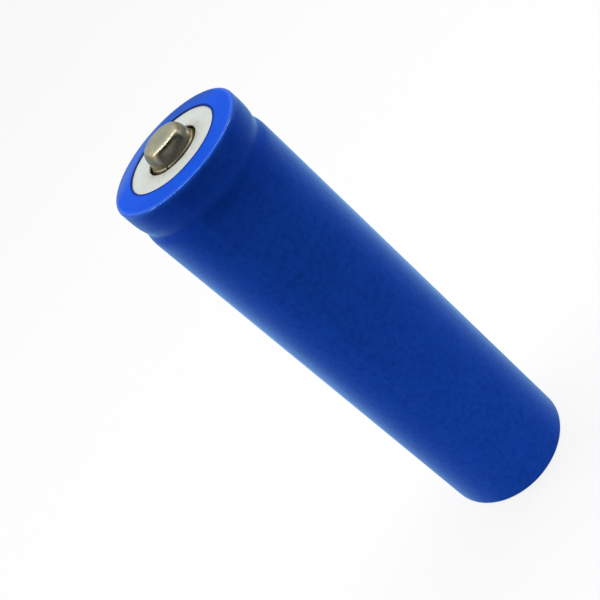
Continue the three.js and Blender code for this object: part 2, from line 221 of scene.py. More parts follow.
def revolve(name, outline, material, segments=144, closed=True, shift=None, sharp=38.0):
    """Revolves an outline. With closed=False its ends lie on the axis.
    shift(theta, radius, z) gives (radial, axial) moves that make the skin uneven."""
    points = np.array(outline, float)
    count = len(points)
    theta = np.repeat((np.arange(segments) * 2 * math.pi / segments)[None, :], count, 0)
    radius = np.repeat(points[:, 0][:, None], segments, 1)
    z = np.repeat(points[:, 1][:, None], segments, 1)
    if shift is not None:
        radial, axial = shift(theta, radius, z)
        off_axis = radius > 1e-9
        radius = radius + radial * off_axis
        z = z + axial * off_axis
    verts = np.stack([radius * np.cos(theta), radius * np.sin(theta), z], -1).reshape(-1, 3) * MM
    faces = []
    for i in range(count if closed else count - 1):
        after = (i + 1) % count
        on_axis, after_on_axis = points[i, 0] < 1e-9, points[after, 0] < 1e-9
        if on_axis and after_on_axis:
            continue
        for j in range(segments):
            j2 = (j + 1) % segments
            quad = (i * segments + j, i * segments + j2, after * segments + j2,
                    after * segments + j)
            if on_axis:
                faces.append((quad[0], quad[2], quad[3]))
            elif after_on_axis:
                faces.append((quad[0], quad[1], quad[3]))
            else:
                faces.append(quad)
    return build(name, verts, faces, material, sharp)


def strip_profile(line, thickness):
    """Closed outline of a strip: out along one face and back along the other."""
    return offset_line(line, thickness / 2) + offset_line(line, -thickness / 2)[::-1]


def side_quads(cuts, count):
    """Quads joining each profile of count points to the next one."""
    quads = []
    for i in range(cuts):
        for k in range(count):
            k2 = (k + 1) % count
            quads.append((i * count + k, i * count + k2, (i + 1) * count + k2,
                          (i + 1) * count + k))
    return quads


def cap_quads(start, count):
    """Quads closing the strip profile whose first vertex is start."""
    last = start + count - 1
    return [(start + k, start + k + 1, last - 1 - k, last - k) for k in range(count // 2 - 1)]


def sheet_band(name, line, thickness, width, material, angle, cuts, bend):
    """Thin strip along an (r, z) centreline whose corners have the radius bend. It is
    bowed across its width to follow the can where it lies far from the axis."""
    profile = strip_profile(dense(rounded(line, bend, 5, closed=False), 1.2), thickness)
    count = len(profile)
    verts = []
    for across in np.linspace(-width / 2, width / 2, cuts + 1):
        for radius, z in profile:
            bow = max(radius, 5.0)
            sag = bow - math.sqrt(bow * bow - across * across)
            verts.append((radius - sag, across, z))
    x, y, z = (np.array(verts) * MM).T
    verts = np.stack([*turned(x, y, angle), z], -1)
    faces = side_quads(cuts, count) + cap_quads(0, count)
    faces += [quad[::-1] for quad in cap_quads(cuts * count, count)]
    band = build(name, verts, faces, material, 50.0)
    agree_normals(band, check_volume=True)
    return band


def swept_bar(name, corners, angles, material, sharp, reverse=False):
    """Sweeps four (radius, z) corners round the axis through angles in radians. A radius
    may be one per angle. reverse winds the sides the other way before normals agree."""
    rows = [
        np.stack([radius * np.cos(angles), radius * np.sin(angles), np.full_like(angles, z)], -1)
        for radius, z in corners
    ]
    count = len(angles)
    last = count - 1
    faces = []
    for k in range(4):
        near, far = k * count, (k + 1) % 4 * count
        for j in range(last):
            quad = (near + j, near + j + 1, far + j + 1, far + j)
            faces.append(quad[:1] + quad[:0:-1] if reverse else quad)
    faces.append((0, count, 2 * count, 3 * count))
    faces.append((last + 3 * count, last + 2 * count, last + count, last))
    bar = build(name, np.concatenate(rows) * MM, faces, material, sharp, orient=not reverse)
    agree_normals(bar)
    return bar


def rounded_block(name, size, centre, material, angle, bevel, segments, taper=0.0):
    """A moulded block with rounded edges; taper narrows its top."""
    bm = bmesh.new()
    bmesh.ops.create_cube(bm, size=1.0)
    for vert in bm.verts:
        scale = 1.0 - taper * (vert.co.z + 0.5)
        x, y, z = vert.co
        vert.co = Vector((x * size[0] * scale, y * size[1] * scale, z * size[2]))
    bmesh.ops.bevel(bm, geom=bm.edges[:] + bm.verts[:], offset=bevel, segments=segments,
                    profile=0.6, affect="EDGES")
    for vert in bm.verts:
        x, y = turned(vert.co.x, vert.co.y, angle)
        vert.co = Vector((x + centre[0], y + centre[1], vert.co.z + centre[2])) * MM
    mesh = bpy.data.meshes.new(name)
    bm.to_mesh(mesh)
    bm.free()
    shade(mesh, 50)
    mesh.materials.append(material)
    return add_object(name, mesh)


def finish_cutter(bm, centre, angle):
    """Moves a cutter to its centre, then turns it about the cell's axis."""
    for vert in bm.verts:
        x, y = turned(vert.co.x + centre[0], vert.co.y + centre[1], angle)
        vert.co = Vector((x, y, vert.co.z + centre[2])) * MM
    mesh = bpy.data.meshes.new("cutter")
    bm.to_mesh(mesh)
    bm.free()
    return add_object("cutter", mesh)


def box_cutter(size, centre, angle, axis):
    """A box whose edges parallel to axis (0 is x, 2 is z) are rounded."""
    bm = bmesh.new()
    bmesh.ops.create_cube(bm, size=1.0)
    for vert in bm.verts:
        vert.co = Vector([vert.co[k] * size[k] for k in range(3)])
    others = [k for k in range(3) if k != axis]
    edges = [
        edge for edge in bm.edges
        if all(abs(edge.verts[0].co[k] - edge.verts[1].co[k]) < 1e-6 for k in others)
    ]
    bmesh.ops.bevel(bm, geom=edges, offset=min(0.18, 0.36 * min(size[1], size[2])), segments=4,
                    profile=0.5, affect="EDGES")
    return finish_cutter(bm, centre, angle)


def hole_cutters(hole_radius, circle_radius, z, angles):
    """Upright cylinders with their centres on a circle."""
    tools = []
    for angle in angles:
        bm = bmesh.new()
        bmesh.ops.create_cone(bm, cap_ends=True, segments=48, radius1=hole_radius,
                              radius2=hole_radius, depth=2.0)
        tools.append(finish_cutter(bm, (circle_radius, 0, z), angle))
    return tools


def cut(obj, tools, sharp=38.0):
    """Subtracts the tools from obj and leaves the result in its mesh."""
    for tool in tools:
        modifier = obj.modifiers.new("cut", "BOOLEAN")
        modifier.operation = "DIFFERENCE"
        modifier.solver = "EXACT"
        modifier.object = tool
    depsgraph = bpy.context.evaluated_depsgraph_get()
    mesh = bpy.data.meshes.new_from_object(obj.evaluated_get(depsgraph))
    obj.modifiers.clear()
    old = obj.data
    obj.data = mesh
    bpy.data.meshes.remove(old)
    for tool in tools:
        bpy.data.objects.remove(tool)
    shade(mesh, sharp)


# ------------------------------------------------------------ node helpers
def first_node(tree, kind):
    return next(node for node in tree.nodes if node.type == kind)


class Graph:
    """Adds and links shader nodes in one tree. Values may be sockets or plain values."""

    def __init__(self, tree, interpolation="LINEAR"):
        self.tree = tree
        self.interpolation = interpolation

    def node(self, kind, **settings):
        node = self.tree.nodes.new(kind)
        for key, value in settings.items():
            setattr(node, key, value)
        return node

    def put(self, value, socket):
        if isinstance(value, bpy.types.NodeSocket):
            self.tree.links.new(value, socket)
        else:
            socket.default_value = value

    def feed(self, node, *values, output=0, **named):
        """Fills the first inputs in order and others by name; gives one output."""
        for value, socket in zip(values, node.inputs):
            self.put(value, socket)
        for key, value in named.items():
            self.put(value, node.inputs[key])
        return node.outputs[output]

    def math(self, operation, *values, clamp=False):
        node = self.node("ShaderNodeMath", operation=operation, use_clamp=clamp)
        return self.feed(node, *values)

    def mul(self, *factors, clamp=False):
        return reduce(lambda left, right: self.math("MULTIPLY", left, right, clamp=clamp), factors)

    def add(self, left, right, clamp=False):
        return self.math("ADD", left, right, clamp=clamp)

    def sub(self, left, right):
        return self.math("SUBTRACT", left, right)

    def vmath(self, operation, *values, output=0, **named):
        node = self.node("ShaderNodeVectorMath", operation=operation)
        return self.feed(node, *values, output=output, **named)

    def vec(self, x, y, z):
        return self.feed(self.node("ShaderNodeCombineXYZ"), x, y, z)

    def separate(self, vector):
        node = self.node("ShaderNodeSeparateXYZ")
        self.put(vector, node.inputs[0])
        return node.outputs

    def remap(self, value, source, target):
        """Carries the source range to the target range and stops at its ends."""
        node = self.node("ShaderNodeMapRange", interpolation_type=self.interpolation)
        return self.feed(node, value, *source, *target)

    def fade(self, value, zero, full, peak=1.0):
        """0 where value is at zero, rising to peak where it is at full."""
        return self.remap(value, (zero, full), (0.0, peak))

    def mix(self, factor, under, over, blend="MIX"):
        """Mixes two colours."""
        node = self.node("ShaderNodeMix", data_type="RGBA", blend_type=blend)
        for value, index in ((factor, 0), (under, 6), (over, 7)):
            if isinstance(value, tuple):
                value = (*value, 1.0)
            self.put(value, node.inputs[index])
        return node.outputs[2]

    def mix_float(self, factor, under, over):
        node = self.node("ShaderNodeMix", data_type="FLOAT")
        for value, index in ((factor, 0), (under, 2), (over, 3)):
            self.put(value, node.inputs[index])
        return node.outputs[0]


class Material(Graph):
    """A procedural material round one Principled shader. Its coordinates are the
    object's own, in millimetres."""

    def __init__(self, name):
        self.material = bpy.data.materials.new(name)
        self.material.use_nodes = True
        super().__init__(self.material.node_tree)
        coords = self.node("ShaderNodeTexCoord").outputs["Object"]
        self.mm = self.vmath("SCALE", coords, Scale=1000.0)

    @cached_property
    def axes(self):
        return self.separate(self.mm)

    x = property(lambda self: self.axes[0])
    y = property(lambda self: self.axes[1])
    z = property(lambda self: self.axes[2])

    @cached_property
    def radius(self):
        squares = self.add(self.mul(self.x, self.x), self.mul(self.y, self.y))
        return self.math("SQRT", squares)

    @cached_property
    def angle(self):
        return self.math("ARCTAN2", self.y, self.x)

    def stretch(self, x, y, z):
        """Coordinates with their own frequency along each axis."""
        return self.vmath("MULTIPLY", self.mm, (x, y, z))

    def noise(self, vector=None, scale=1.0, detail=4, rough=0.6, distort=0.0):
        return self.feed(self.node("ShaderNodeTexNoise"), Vector=vector or self.mm, Scale=scale,
                         Detail=detail, Roughness=rough, Distortion=distort)

    def voronoi(self, vector, scale, feature):
        node = self.node("ShaderNodeTexVoronoi", feature=feature)
        return self.feed(node, Vector=vector, Scale=scale)

    def ramp(self, value, stops):
        """stops are (position, grey level)."""
        node = self.node("ShaderNodeValToRGB")
        node.color_ramp.interpolation = "EASE"
        while len(node.color_ramp.elements) < len(stops):
            node.color_ramp.elements.new(0.5)
        for element, (position, level) in zip(node.color_ramp.elements, stops):
            element.position = position
            element.color = (level, level, level, 1)
        return self.feed(node, value)

    def coat(self, base, mask, colour, amount=None, clamp=False, blend="MIX"):
        """Lays colour over base where mask is high, scaled by amount."""
        if amount is not None:
            mask = self.mul(mask, amount, clamp=clamp)
        return self.mix(mask, base, colour, blend)

    def bump(self, height, depth, strength, over=None):
        """depth is the bump's height in millimetres; over is an earlier bump."""
        inputs = {"Strength": strength, "Distance": depth * MM, "Height": height}
        if over is not None:
            inputs["Normal"] = over
        return self.feed(self.node("ShaderNodeBump"), **inputs)

    def finish(self, colour, rough, metal, normal, **others):
        inputs = {"Base Color": colour, "Roughness": rough, "Metallic": metal, "Normal": normal}
        inputs.update({key.replace("_", " "): value for key, value in others.items()})
        shader = first_node(self.tree, "BSDF_PRINCIPLED")
        for key, value in inputs.items():
            self.put(value, shader.inputs[key])
        return self.material


# ----------------------------------------------------------------- materials
def sleeve_material():
    """Blue heat-shrink film: saturated body colour, satin gloss, drawn lengthwise lines
    and faint orange peel, paler where it is stretched over the upper corner, which is also a
    painted highlight there. Painted shade darkens the base rim, the strip's bends, the crimped
    end and the free edge, and painted reflection greys the far side of the top face."""
    mat = Material("heat_shrink_blue")
    fade, mul, coat = mat.fade, mat.mul, mat.coat
    blotch = mat.noise(scale=0.22, distort=0.4)
    streak = mat.noise(mat.stretch(1.6, 1.6, 0.035))
    fine = mat.noise(mat.stretch(9.0, 9.0, 0.4), detail=3)
    grain = mat.noise(scale=14.0, detail=2)
    base = mat.mix(fade(blotch, zero=0.35, full=0.65), (0.0060, 0.082, 0.66), (0.0090, 0.092, 0.73))
    base = coat(base, fade(streak, zero=0.40, full=0.68, peak=0.30), (0.0045, 0.068, 0.58))
    base = coat(base, fade(grain, zero=0.45, full=0.75, peak=0.12), (0.012, 0.115, 0.80))

    # orange peel, fainter on the top face
    peel = mat.noise(scale=1.3, rough=0.75, distort=0.3)
    body = mat.remap(mat.z, source=(67.25, 67.05), target=(0.25, 1.0))
    pale = mul(fade(peel, zero=0.44, full=0.60, peak=0.42), body)
    base = coat(base, pale, (0.0085, 0.125, 0.86))
    deep = mul(fade(peel, zero=0.50, full=0.36, peak=0.40), body)
    base = coat(base, deep, (0.0030, 0.055, 0.50))

    # stretched film on the shoulder: paler at its corner, partly whitening and partly a painted
    # highlight
    top = mul(fade(mat.z, zero=66.75, full=67.15), fade(mat.radius, zero=9.45, full=9.0))
    edge = mul(top, fade(mat.radius, zero=8.6, full=8.95))
    base = coat(base, edge, (0.035, 0.19, 0.95), amount=0.30)
    # painted shade: a dark rim at the base corner, where the film turns under the base, on all but
    # the -X side
    foot = mul(fade(mat.radius, zero=7.4, full=8.2), fade(mat.x, zero=-6.0, full=-2.5))
    foot = mul(fade(mat.z, zero=0.80, full=0.30), foot)
    base = coat(base, foot, (0.0010, 0.014, 0.12), amount=0.85)

    # painted shade: darker film over the strip's bends, in the groove and below the shoulder
    turn = mul(fade(mat.angle, zero=radians(-116.8), full=radians(-114.8)),
               fade(mat.angle, zero=radians(-70), full=radians(-96)))
    low_bend_shade = mul(fade(mat.z, zero=61.3, full=62.5), fade(mat.z, zero=63.9, full=63.1))
    bend = mat.math("MAXIMUM", mul(fade(mat.z, zero=64.5, full=65.5), 0.8), low_bend_shade)
    bend = mul(bend, turn, fade(mat.z, zero=66.95, full=66.3))
    base = coat(base, bend, (0.0010, 0.038, 0.38), amount=0.34)
    # painted shade: darker towards the crimped end
    upper = mul(fade(mat.z, zero=56.0, full=62.0), fade(mat.z, zero=67.0, full=66.7))
    base = coat(base, upper, (0.0008, 0.042, 0.50), amount=0.40)
    # the free edge of the film is thicker, and its darker colour is partly painted shade along the
    # lip
    lip = mul(fade(mat.z, zero=67.1, full=67.3), fade(mat.radius, zero=6.68, full=6.50))
    base = coat(base, lip, (0.0008, 0.015, 0.17), amount=0.88)
    # painted reflection: greyer patches on the +Y side of the top face, at +X and at -X
    level = fade(mat.z, zero=67.1, full=67.3)
    for lean, start, amount, tint in (
        (0.5, 4.6, 0.60, (0.025, 0.080, 0.28)),
        (-0.5, 5.4, 0.66, (0.085, 0.170, 0.50)),
    ):
        far = mat.add(mul(mat.x, lean), mul(mat.y, 0.87))
        base = coat(base, mul(level, fade(far, zero=start, full=7.6)), tint, amount=amount)

    # hairline rubs, mostly round the body
    around = mat.vec(mul(mat.angle, 9.3), mat.z, mat.radius)
    rub = mat.noise(mat.vmath("MULTIPLY", around, (0.35, 5.0, 0.35)),
                    detail=6, rough=0.7, distort=0.3)
    rub = mat.ramp(rub, [(0.0, 0.0), (0.66, 0.0), (0.74, 1.0), (1.0, 1.0)])
    base = coat(base, rub, (0.06, 0.20, 0.85), amount=0.08)
    rough = mat.add(mat.remap(streak, source=(0.3, 0.7), target=(0.24, 0.33)), mul(rub, 0.10))
    normal = mat.bump(mat.noise(scale=0.9, detail=2, rough=0.5), depth=0.012, strength=0.55)
    normal = mat.bump(fine, depth=0.0016, strength=0.6, over=normal)
    normal = mat.bump(grain, depth=0.0006, strength=0.5, over=normal)

    # duller where it laps over the end, glossier round the corner
    lap = mul(fade(mat.z, zero=67.20, full=67.34), fade(mat.radius, zero=8.98, full=8.80))
    rough = mat.add(rough, mul(lap, 0.16))
    corner = mul(fade(mat.z, zero=66.85, full=67.0), fade(mat.radius, zero=8.85, full=8.98))
    rough = mat.sub(rough, mul(corner, 0.16))
    shine = mat.sub(0.15, mul(lap, 0.13))
    # the groove's upper slope stays dull at the sides
    slope = mul(fade(mat.z, zero=63.4, full=63.8), fade(mat.z, zero=65.3, full=64.7),
                fade(mat.math("ABSOLUTE", mat.x), zero=6.6, full=8.4))
    shine = mul(shine, mat.sub(1.0, mul(slope, 0.45)))
    shine = mat.add(shine, mul(corner, 0.30))
    return mat.finish(base, rough, 0.0, normal, IOR=1.50, Specular_IOR_Level=shine,
                      Specular_Tint=(0.42, 0.74, 1.0, 1.0))


def ring_material():
    """White fibre washer: matt, slightly warm, felted, with small specks, and with painted
    shade in grey patches round the hole.
    """
    mat = Material("white_fibre")
    fade, mul = mat.fade, mat.mul
    fibres = mat.math(
        "MAXIMUM",
        mat.noise(mat.stretch(3.0, 11.0, 6.0), rough=0.65, distort=1.2),
        mat.noise(mat.stretch(11.0, 3.0, 6.0), rough=0.65, distort=1.2))
    cloud = mat.noise(scale=0.55, distort=0.5)
    speck = mat.ramp(mat.voronoi(mat.mm, scale=2.2, feature="F1"),
                     [(0.0, 1.0), (0.05, 0.0), (1.0, 0.0)])
    base = mat.mix(fade(fibres, zero=0.45, full=0.75), (0.565, 0.610, 0.565), (0.655, 0.690, 0.655))
    base = mat.coat(base, fade(cloud, zero=0.40, full=0.70, peak=0.45), (0.520, 0.545, 0.500))
    # painted shade: grey patches round the hole and along the x axis, next to the button
    near = fade(mat.radius, zero=5.0, full=3.9)
    lane = mul(fade(mat.math("ABSOLUTE", mat.y), zero=1.25, full=0.35),
               fade(mat.radius, zero=5.5, full=4.0))
    near = mat.add(mul(near, 0.7), mul(lane, 0.55), clamp=True)
    patches = mat.noise(scale=0.9, detail=3, distort=0.8)
    button_shade_patches = mul(near, fade(patches, zero=0.42, full=0.62))
    base = mat.coat(base, button_shade_patches, (0.34, 0.34, 0.27), amount=0.55)
    base = mat.coat(base, speck, (0.45, 0.42, 0.36), amount=0.25)
    normal = mat.bump(fibres, depth=0.010, strength=0.7)
    normal = mat.bump(mat.noise(scale=16, detail=2, rough=0.55), depth=0.004, strength=0.5,
                      over=normal)
    rough = mat.remap(cloud, source=(0.3, 0.7), target=(0.55, 0.72))
    return mat.finish(base, rough, 0.0, normal, Specular_IOR_Level=0.35)


# Patches on the button's wall: angle, z, width, height, strength, colour. The dark rows are
# darker patches and brown stains; the pale rows hold painted reflections at -134 and -47
# degrees, a painted glint at -29 degrees, a gold stain and a paler patch
DARK_MARKS = (
    (-68, 68.75, 1.7, 1.0, 1.3, (0.075, 0.075, 0.050)),
    (-112, 69.10, 1.5, 0.35, 1.0, (0.09, 0.085, 0.060)),
    (-100, 67.95, 1.3, 0.45, 0.9, (0.10, 0.095, 0.070)),
    (-16, 67.85, 2.3, 1.15, 1.7, (0.155, 0.078, 0.020)),
    (-150, 67.62, 1.3, 0.40, 1.2, (0.26, 0.185, 0.080)),
)
PALE_STAINS_AND_PAINTED_REFLECTIONS = (
    # painted reflection
    (-134, 68.72, 0.80, 1.0, 1.4, (0.96, 0.80, 0.60)),
    (-96, 68.78, 1.1, 0.9, 0.9, (0.62, 0.56, 0.46)),
    # painted reflection
    (-47, 68.90, 0.50, 0.7, 1.4, (0.98, 0.86, 0.68)),
    (-30, 67.92, 0.85, 0.66, 1.3, (0.78, 0.56, 0.24)),
    # painted glint
    (-29, 68.04, 0.30, 0.30, 2.0, (1.0, 0.98, 0.90)),
)


def nickel_material(name, tone=(0.63, 0.635, 0.470), dull=(0.45, 0.45, 0.310), rough=0.24,
                    stain_and_shading=0.5):
    """Nickel-plated pressed steel: turned lines on flat faces, drawn lines on walls, stains,
    and painted highlights, reflections and shade on the wall, all scaled by its last argument."""
    mat = Material(name)
    fade, mul, coat = mat.fade, mat.mul, mat.coat
    facing_z = mat.separate(mat.node("ShaderNodeNewGeometry").outputs["Normal"])[2]
    flat = fade(mat.math("ABSOLUTE", facing_z), zero=0.75, full=0.95)
    rings = mat.noise(mat.vec(mul(mat.radius, 16.0), mul(mat.angle, 0.35), 0.0), rough=0.7)
    drawn = mat.noise(mat.vec(mul(mat.angle, 22.0), mul(mat.z, 0.55), mat.radius), rough=0.7)
    lines = mat.add(mul(flat, rings), mul(mat.sub(1.0, flat), drawn))
    cloud = mat.noise(scale=0.75, rough=0.62, distort=0.8)
    spot = mat.noise(scale=2.6, rough=0.7, distort=0.6)
    base = mat.mix(fade(cloud, zero=0.38, full=0.66), tone, dull)
    base = coat(base, fade(lines, zero=0.42, full=0.72, peak=0.30), dull)
    base = coat(base, fade(spot, zero=0.54, full=0.70), (0.30, 0.23, 0.13), amount=0.40 * stain_and_shading)
    base = coat(base, fade(cloud, zero=0.56, full=0.74), (0.42, 0.46, 0.32), amount=0.35 * stain_and_shading)

    # warmer wall, deepening away from -Y: a painted tint that cancels the blue floor the wall
    # reflects, with a painted dark reflection low on the wall, and broad streaks
    side = mat.sub(1.0, flat)
    base = coat(base, side, (1.0, 0.95, 0.84), amount=1.6 * stain_and_shading, clamp=True, blend="MULTIPLY")
    flank = fade(mat.math("ABSOLUTE", mat.add(mat.angle, radians(90))),
                 zero=radians(24), full=radians(52))
    base = coat(base, mul(side, flank), (1.0, 0.90, 0.74), amount=1.8 * stain_and_shading, clamp=True,
                blend="MULTIPLY")
    # painted dark reflection on the lower part of the wall
    low_wall_dark_reflection = mul(fade(mat.z, zero=68.55, full=67.95), fade(mat.z, zero=67.50, full=67.60))
    base = coat(base, mul(side, low_wall_dark_reflection), (0.13, 0.122, 0.085), amount=1.6 * stain_and_shading)
    broad = mat.noise(mat.vec(mul(mat.angle, 5.0), mul(mat.z, 0.35), 3.0), detail=3)
    streak = mul(side, mat.math("MAXIMUM", fade(broad, zero=0.50, full=0.66),
                                fade(drawn, zero=0.56, full=0.70)))
    base = coat(base, streak, (0.17, 0.165, 0.12), amount=0.85 * stain_and_shading)

    # painted reflection tint: browner where the wall turns away from the view, against the blue
    # floor it reflects there
    weight = mat.node("ShaderNodeLayerWeight")
    weight.inputs["Blend"].default_value = 0.5
    grazing_reflection_tint = mul(side, fade(weight.outputs["Facing"], zero=0.22, full=0.60))
    base = coat(base, grazing_reflection_tint, (0.40, 0.29, 0.165), amount=1.25 * stain_and_shading, clamp=True)

    def patch(angle, z, wide, high, soft=0.5):
        """1 inside an oval on the wall, wide x high millimetres across, fading at its rim."""
        across = mul(mat.sub(mat.angle, radians(angle)), 2 * BUTTON_SIDE_RADIUS / wide)
        along = mul(mat.sub(mat.z, z), 2.0 / high)
        distance = mat.math("SQRT", mat.add(mul(across, across), mul(along, along)))
        return mul(fade(distance, zero=1.0 + soft, full=1.0 - soft), side)

    press = mat.noise(mat.vec(mul(mat.angle, 16.0), mul(mat.z, 0.9), 7.0), detail=2, rough=0.5)
    press = mul(side, fade(press, zero=0.50, full=0.60), fade(mat.z, zero=67.8, full=68.2))
    base = coat(base, press, (0.085, 0.078, 0.055), amount=0.9 * stain_and_shading)
    warm = fade(mat.noise(scale=1.1, detail=3, distort=0.4), zero=0.42, full=0.60)
    base = coat(base, mul(side, warm), (0.33, 0.235, 0.17), amount=0.5 * stain_and_shading)
    mottle = fade(mat.noise(scale=2.2, rough=0.65, distort=0.5), zero=0.38, full=0.60)
    for *oval, strength, tint in DARK_MARKS:
        mark = mul(patch(*oval), mat.add(0.45, mul(mottle, 0.55)))
        base = coat(base, mark, tint, amount=strength * stain_and_shading, clamp=True)
    # pale stains, painted reflections and a painted glint
    for *oval, strength, tint in PALE_STAINS_AND_PAINTED_REFLECTIONS:
        base = coat(base, patch(*oval), tint, amount=strength * stain_and_shading, clamp=True)

    # painted dark reflection below the shoulder's bright line, and a painted highlight as a bright
    # line along the foot, both on the -Y side
    brow_dark_reflection = mul(fade(mat.z, zero=69.08, full=69.18), fade(mat.z, zero=69.40, full=69.33),
               fade(mat.y, zero=-1.3, full=-1.9))
    base = coat(base, brow_dark_reflection, (0.11, 0.105, 0.080), amount=1.3 * stain_and_shading)
    # painted highlight along the foot, on the -Y side
    line = mul(fade(mat.z, zero=67.44, full=67.48), fade(mat.z, zero=67.58, full=67.54),
               fade(mat.y, zero=-0.2, full=-1.0))
    base = coat(base, line, (0.95, 0.95, 0.80), amount=1.05 * stain_and_shading)
    # painted shade in the gap below the bright line, dark brown where it is also stained, and
    # painted shade in a black nick
    gap_shade_and_stain = mul(fade(mat.z, zero=67.43, full=67.38), fade(mat.z, zero=67.0, full=67.1))
    brown = mat.mix(mottle, (0.028, 0.020, 0.010), (0.095, 0.052, 0.018))
    base = coat(base, gap_shade_and_stain, brown, amount=1.8 * stain_and_shading)
    nick = mul(patch(-127, 67.45, wide=0.20, high=0.28, soft=0.35),
               fade(mat.z, zero=67.60, full=67.54))
    base = coat(base, nick, (0.006, 0.005, 0.003), amount=1.7 * stain_and_shading, clamp=True)

    gloss = mat.remap(cloud, source=(0.3, 0.7), target=(rough - 0.04, rough + 0.08))
    gloss = mat.add(gloss, mul(lines, 0.10))
    gloss = mat.add(gloss, mul(mat.math("MAXIMUM", line, gap_shade_and_stain), 0.36))
    normal = mat.bump(lines, depth=0.0025, strength=0.55)
    normal = mat.bump(mat.noise(scale=3.0, detail=3, rough=0.55), depth=0.004, strength=0.35,
                      over=normal)
    return mat.finish(base, gloss, 1.0, normal)


def metal_material(name, tone, dull, rough, grain):
    """Bare metal; grain is the frequency of its lines along x, y and z."""
    mat = Material(name)
    line = mat.noise(mat.stretch(*grain), detail=5, rough=0.7)
    cloud = mat.noise(scale=0.4, distort=0.5)
    pit = mat.noise(scale=6.0, detail=3)
    base = mat.mix(mat.fade(cloud, zero=0.35, full=0.68), tone, dull)
    base = mat.coat(base, mat.fade(line, zero=0.45, full=0.75, peak=0.25), dull)
    gloss = mat.remap(line, source=(0.3, 0.7), target=(rough - 0.05, rough + 0.10))
    gloss = mat.add(gloss, mat.mul(pit, 0.05))
    normal = mat.bump(line, depth=0.002, strength=0.6)
    normal = mat.bump(pit, depth=0.002, strength=0.4, over=normal)
    return mat.finish(base, gloss, 1.0, normal)


def cloudy_rough(mat, cloud, rough):
    """Roughness that varies a little with the clouding."""
    return mat.remap(cloud, source=(0.3, 0.7), target=(rough - 0.05, rough + 0.08))


def plastic_material(name, tone, second, rough, scale=0.8, depth=0.004):
    """Clouded, finely grained solid; scale sizes the clouds, depth the grain."""
    mat = Material(name)
    cloud = mat.noise(scale=scale, distort=0.4)
    grain = mat.noise(scale=9.0, detail=3)
    base = mat.mix(mat.fade(cloud, zero=0.35, full=0.66), tone, second)
    paler = tuple(min(1.0, channel * 1.5 + 0.01) for channel in tone)
    base = mat.coat(base, mat.fade(grain, zero=0.50, full=0.72, peak=0.25), paler)
    normal = mat.bump(grain, depth=depth, strength=0.6)
    return mat.finish(base, cloudy_rough(mat, cloud, rough), 0.0, normal)


def coated_material(name, tone, second, rough, foil):
    """Electrode: grainy coating, with the bare foil showing at the top and bottom edges."""
    mat = Material(name)
    grain = mat.noise(scale=16.0, rough=0.7)
    cloud = mat.noise(mat.stretch(0.5, 0.5, 0.08))
    base = mat.mix(mat.fade(grain, zero=0.40, full=0.70), tone, second)
    paler = tuple(channel * 1.8 for channel in second)
    base = mat.coat(base, mat.fade(cloud, zero=0.45, full=0.70, peak=0.35), paler)
    bare = mat.math("MAXIMUM", mat.fade(mat.z, zero=59.4, full=59.6),
                    mat.fade(mat.z, zero=4.95, full=4.75))
    base = mat.coat(base, bare, foil)
    normal = mat.bump(grain, depth=0.006, strength=0.8)
    return mat.finish(base, mat.sub(rough, mat.mul(bare, 0.4)), mat.mul(bare, 0.95), normal)


def film_material(name, tone, second, rough):
    """Thin polymer film with faint draw lines."""
    mat = Material(name)
    draw = mat.noise(mat.stretch(2.5, 2.5, 0.12))
    cloud = mat.noise(scale=0.5, detail=3, distort=0.5)
    base = mat.mix(mat.fade(draw, zero=0.40, full=0.68), tone, second)
    darker = tuple(channel * 0.8 for channel in second)
    base = mat.coat(base, mat.fade(cloud, zero=0.45, full=0.70, peak=0.3), darker)
    normal = mat.bump(draw, depth=0.003, strength=0.6)
    return mat.finish(base, cloudy_rough(mat, cloud, rough), 0.0, normal)


def board_material():
    """Round board: green solder mask over woven glass, copper pour, tinned pads."""
    mat = Material("board_mask")
    mul = mat.mul
    weave = mul(mat.math("SINE", mul(mat.x, 12.0)), mat.math("SINE", mul(mat.y, 12.0)))
    cells = mat.voronoi(mat.stretch(0.45, 0.45, 0.0), scale=1.0, feature="DISTANCE_TO_EDGE")
    pour = mat.ramp(cells, [(0.0, 0.0), (0.035, 0.0), (0.06, 1.0), (1.0, 1.0)])
    base = mat.mix(pour, (0.004, 0.055, 0.020), (0.010, 0.140, 0.050))
    base = mat.coat(base, mat.fade(weave, zero=0.2, full=1.0, peak=0.22), (0.020, 0.20, 0.085))
    # bare laminate on the rim
    base = mat.coat(base, mat.fade(mat.radius, zero=8.32, full=8.36), (0.42, 0.36, 0.16))

    def pad(distance, way_x, way_y, half_out, half_across):
        """A rectangle centred at distance from the axis along the unit vector (way_x, way_y)."""
        def along(part_x, part_y):
            from_x = mul(mat.sub(mat.x, distance * way_x), part_x)
            return mat.add(from_x, mul(mat.sub(mat.y, distance * way_y), part_y))

        def within(value, half):
            return mat.fade(mat.math("ABSOLUTE", value), zero=half + 0.04, full=half)

        return mul(within(along(way_x, way_y), half_out),
                   within(along(-way_y, way_x), half_across))

    # tinned pads where the two links land, on the upper face only
    strip_way = cos(radians(STRIP_ANGLE)), sin(radians(STRIP_ANGLE))
    pads = mat.math("MAXIMUM", pad(7.2, *strip_way, half_out=0.9, half_across=2.1),
                    pad(6.6, 0.0, 1.0, half_out=1.2, half_across=1.4))
    pads = mul(pads, mat.fade(mat.z, zero=1.24, full=1.25))
    base = mat.coat(base, pads, (0.70, 0.68, 0.62))
    normal = mat.bump(mat.add(mul(pour, 1.0), mul(weave, 0.1)), depth=0.02, strength=0.7)
    rough = mat.sub(0.34, mul(pads, 0.10))
    return mat.finish(base, rough, mul(pads, 0.95), normal, Specular_IOR_Level=0.5)


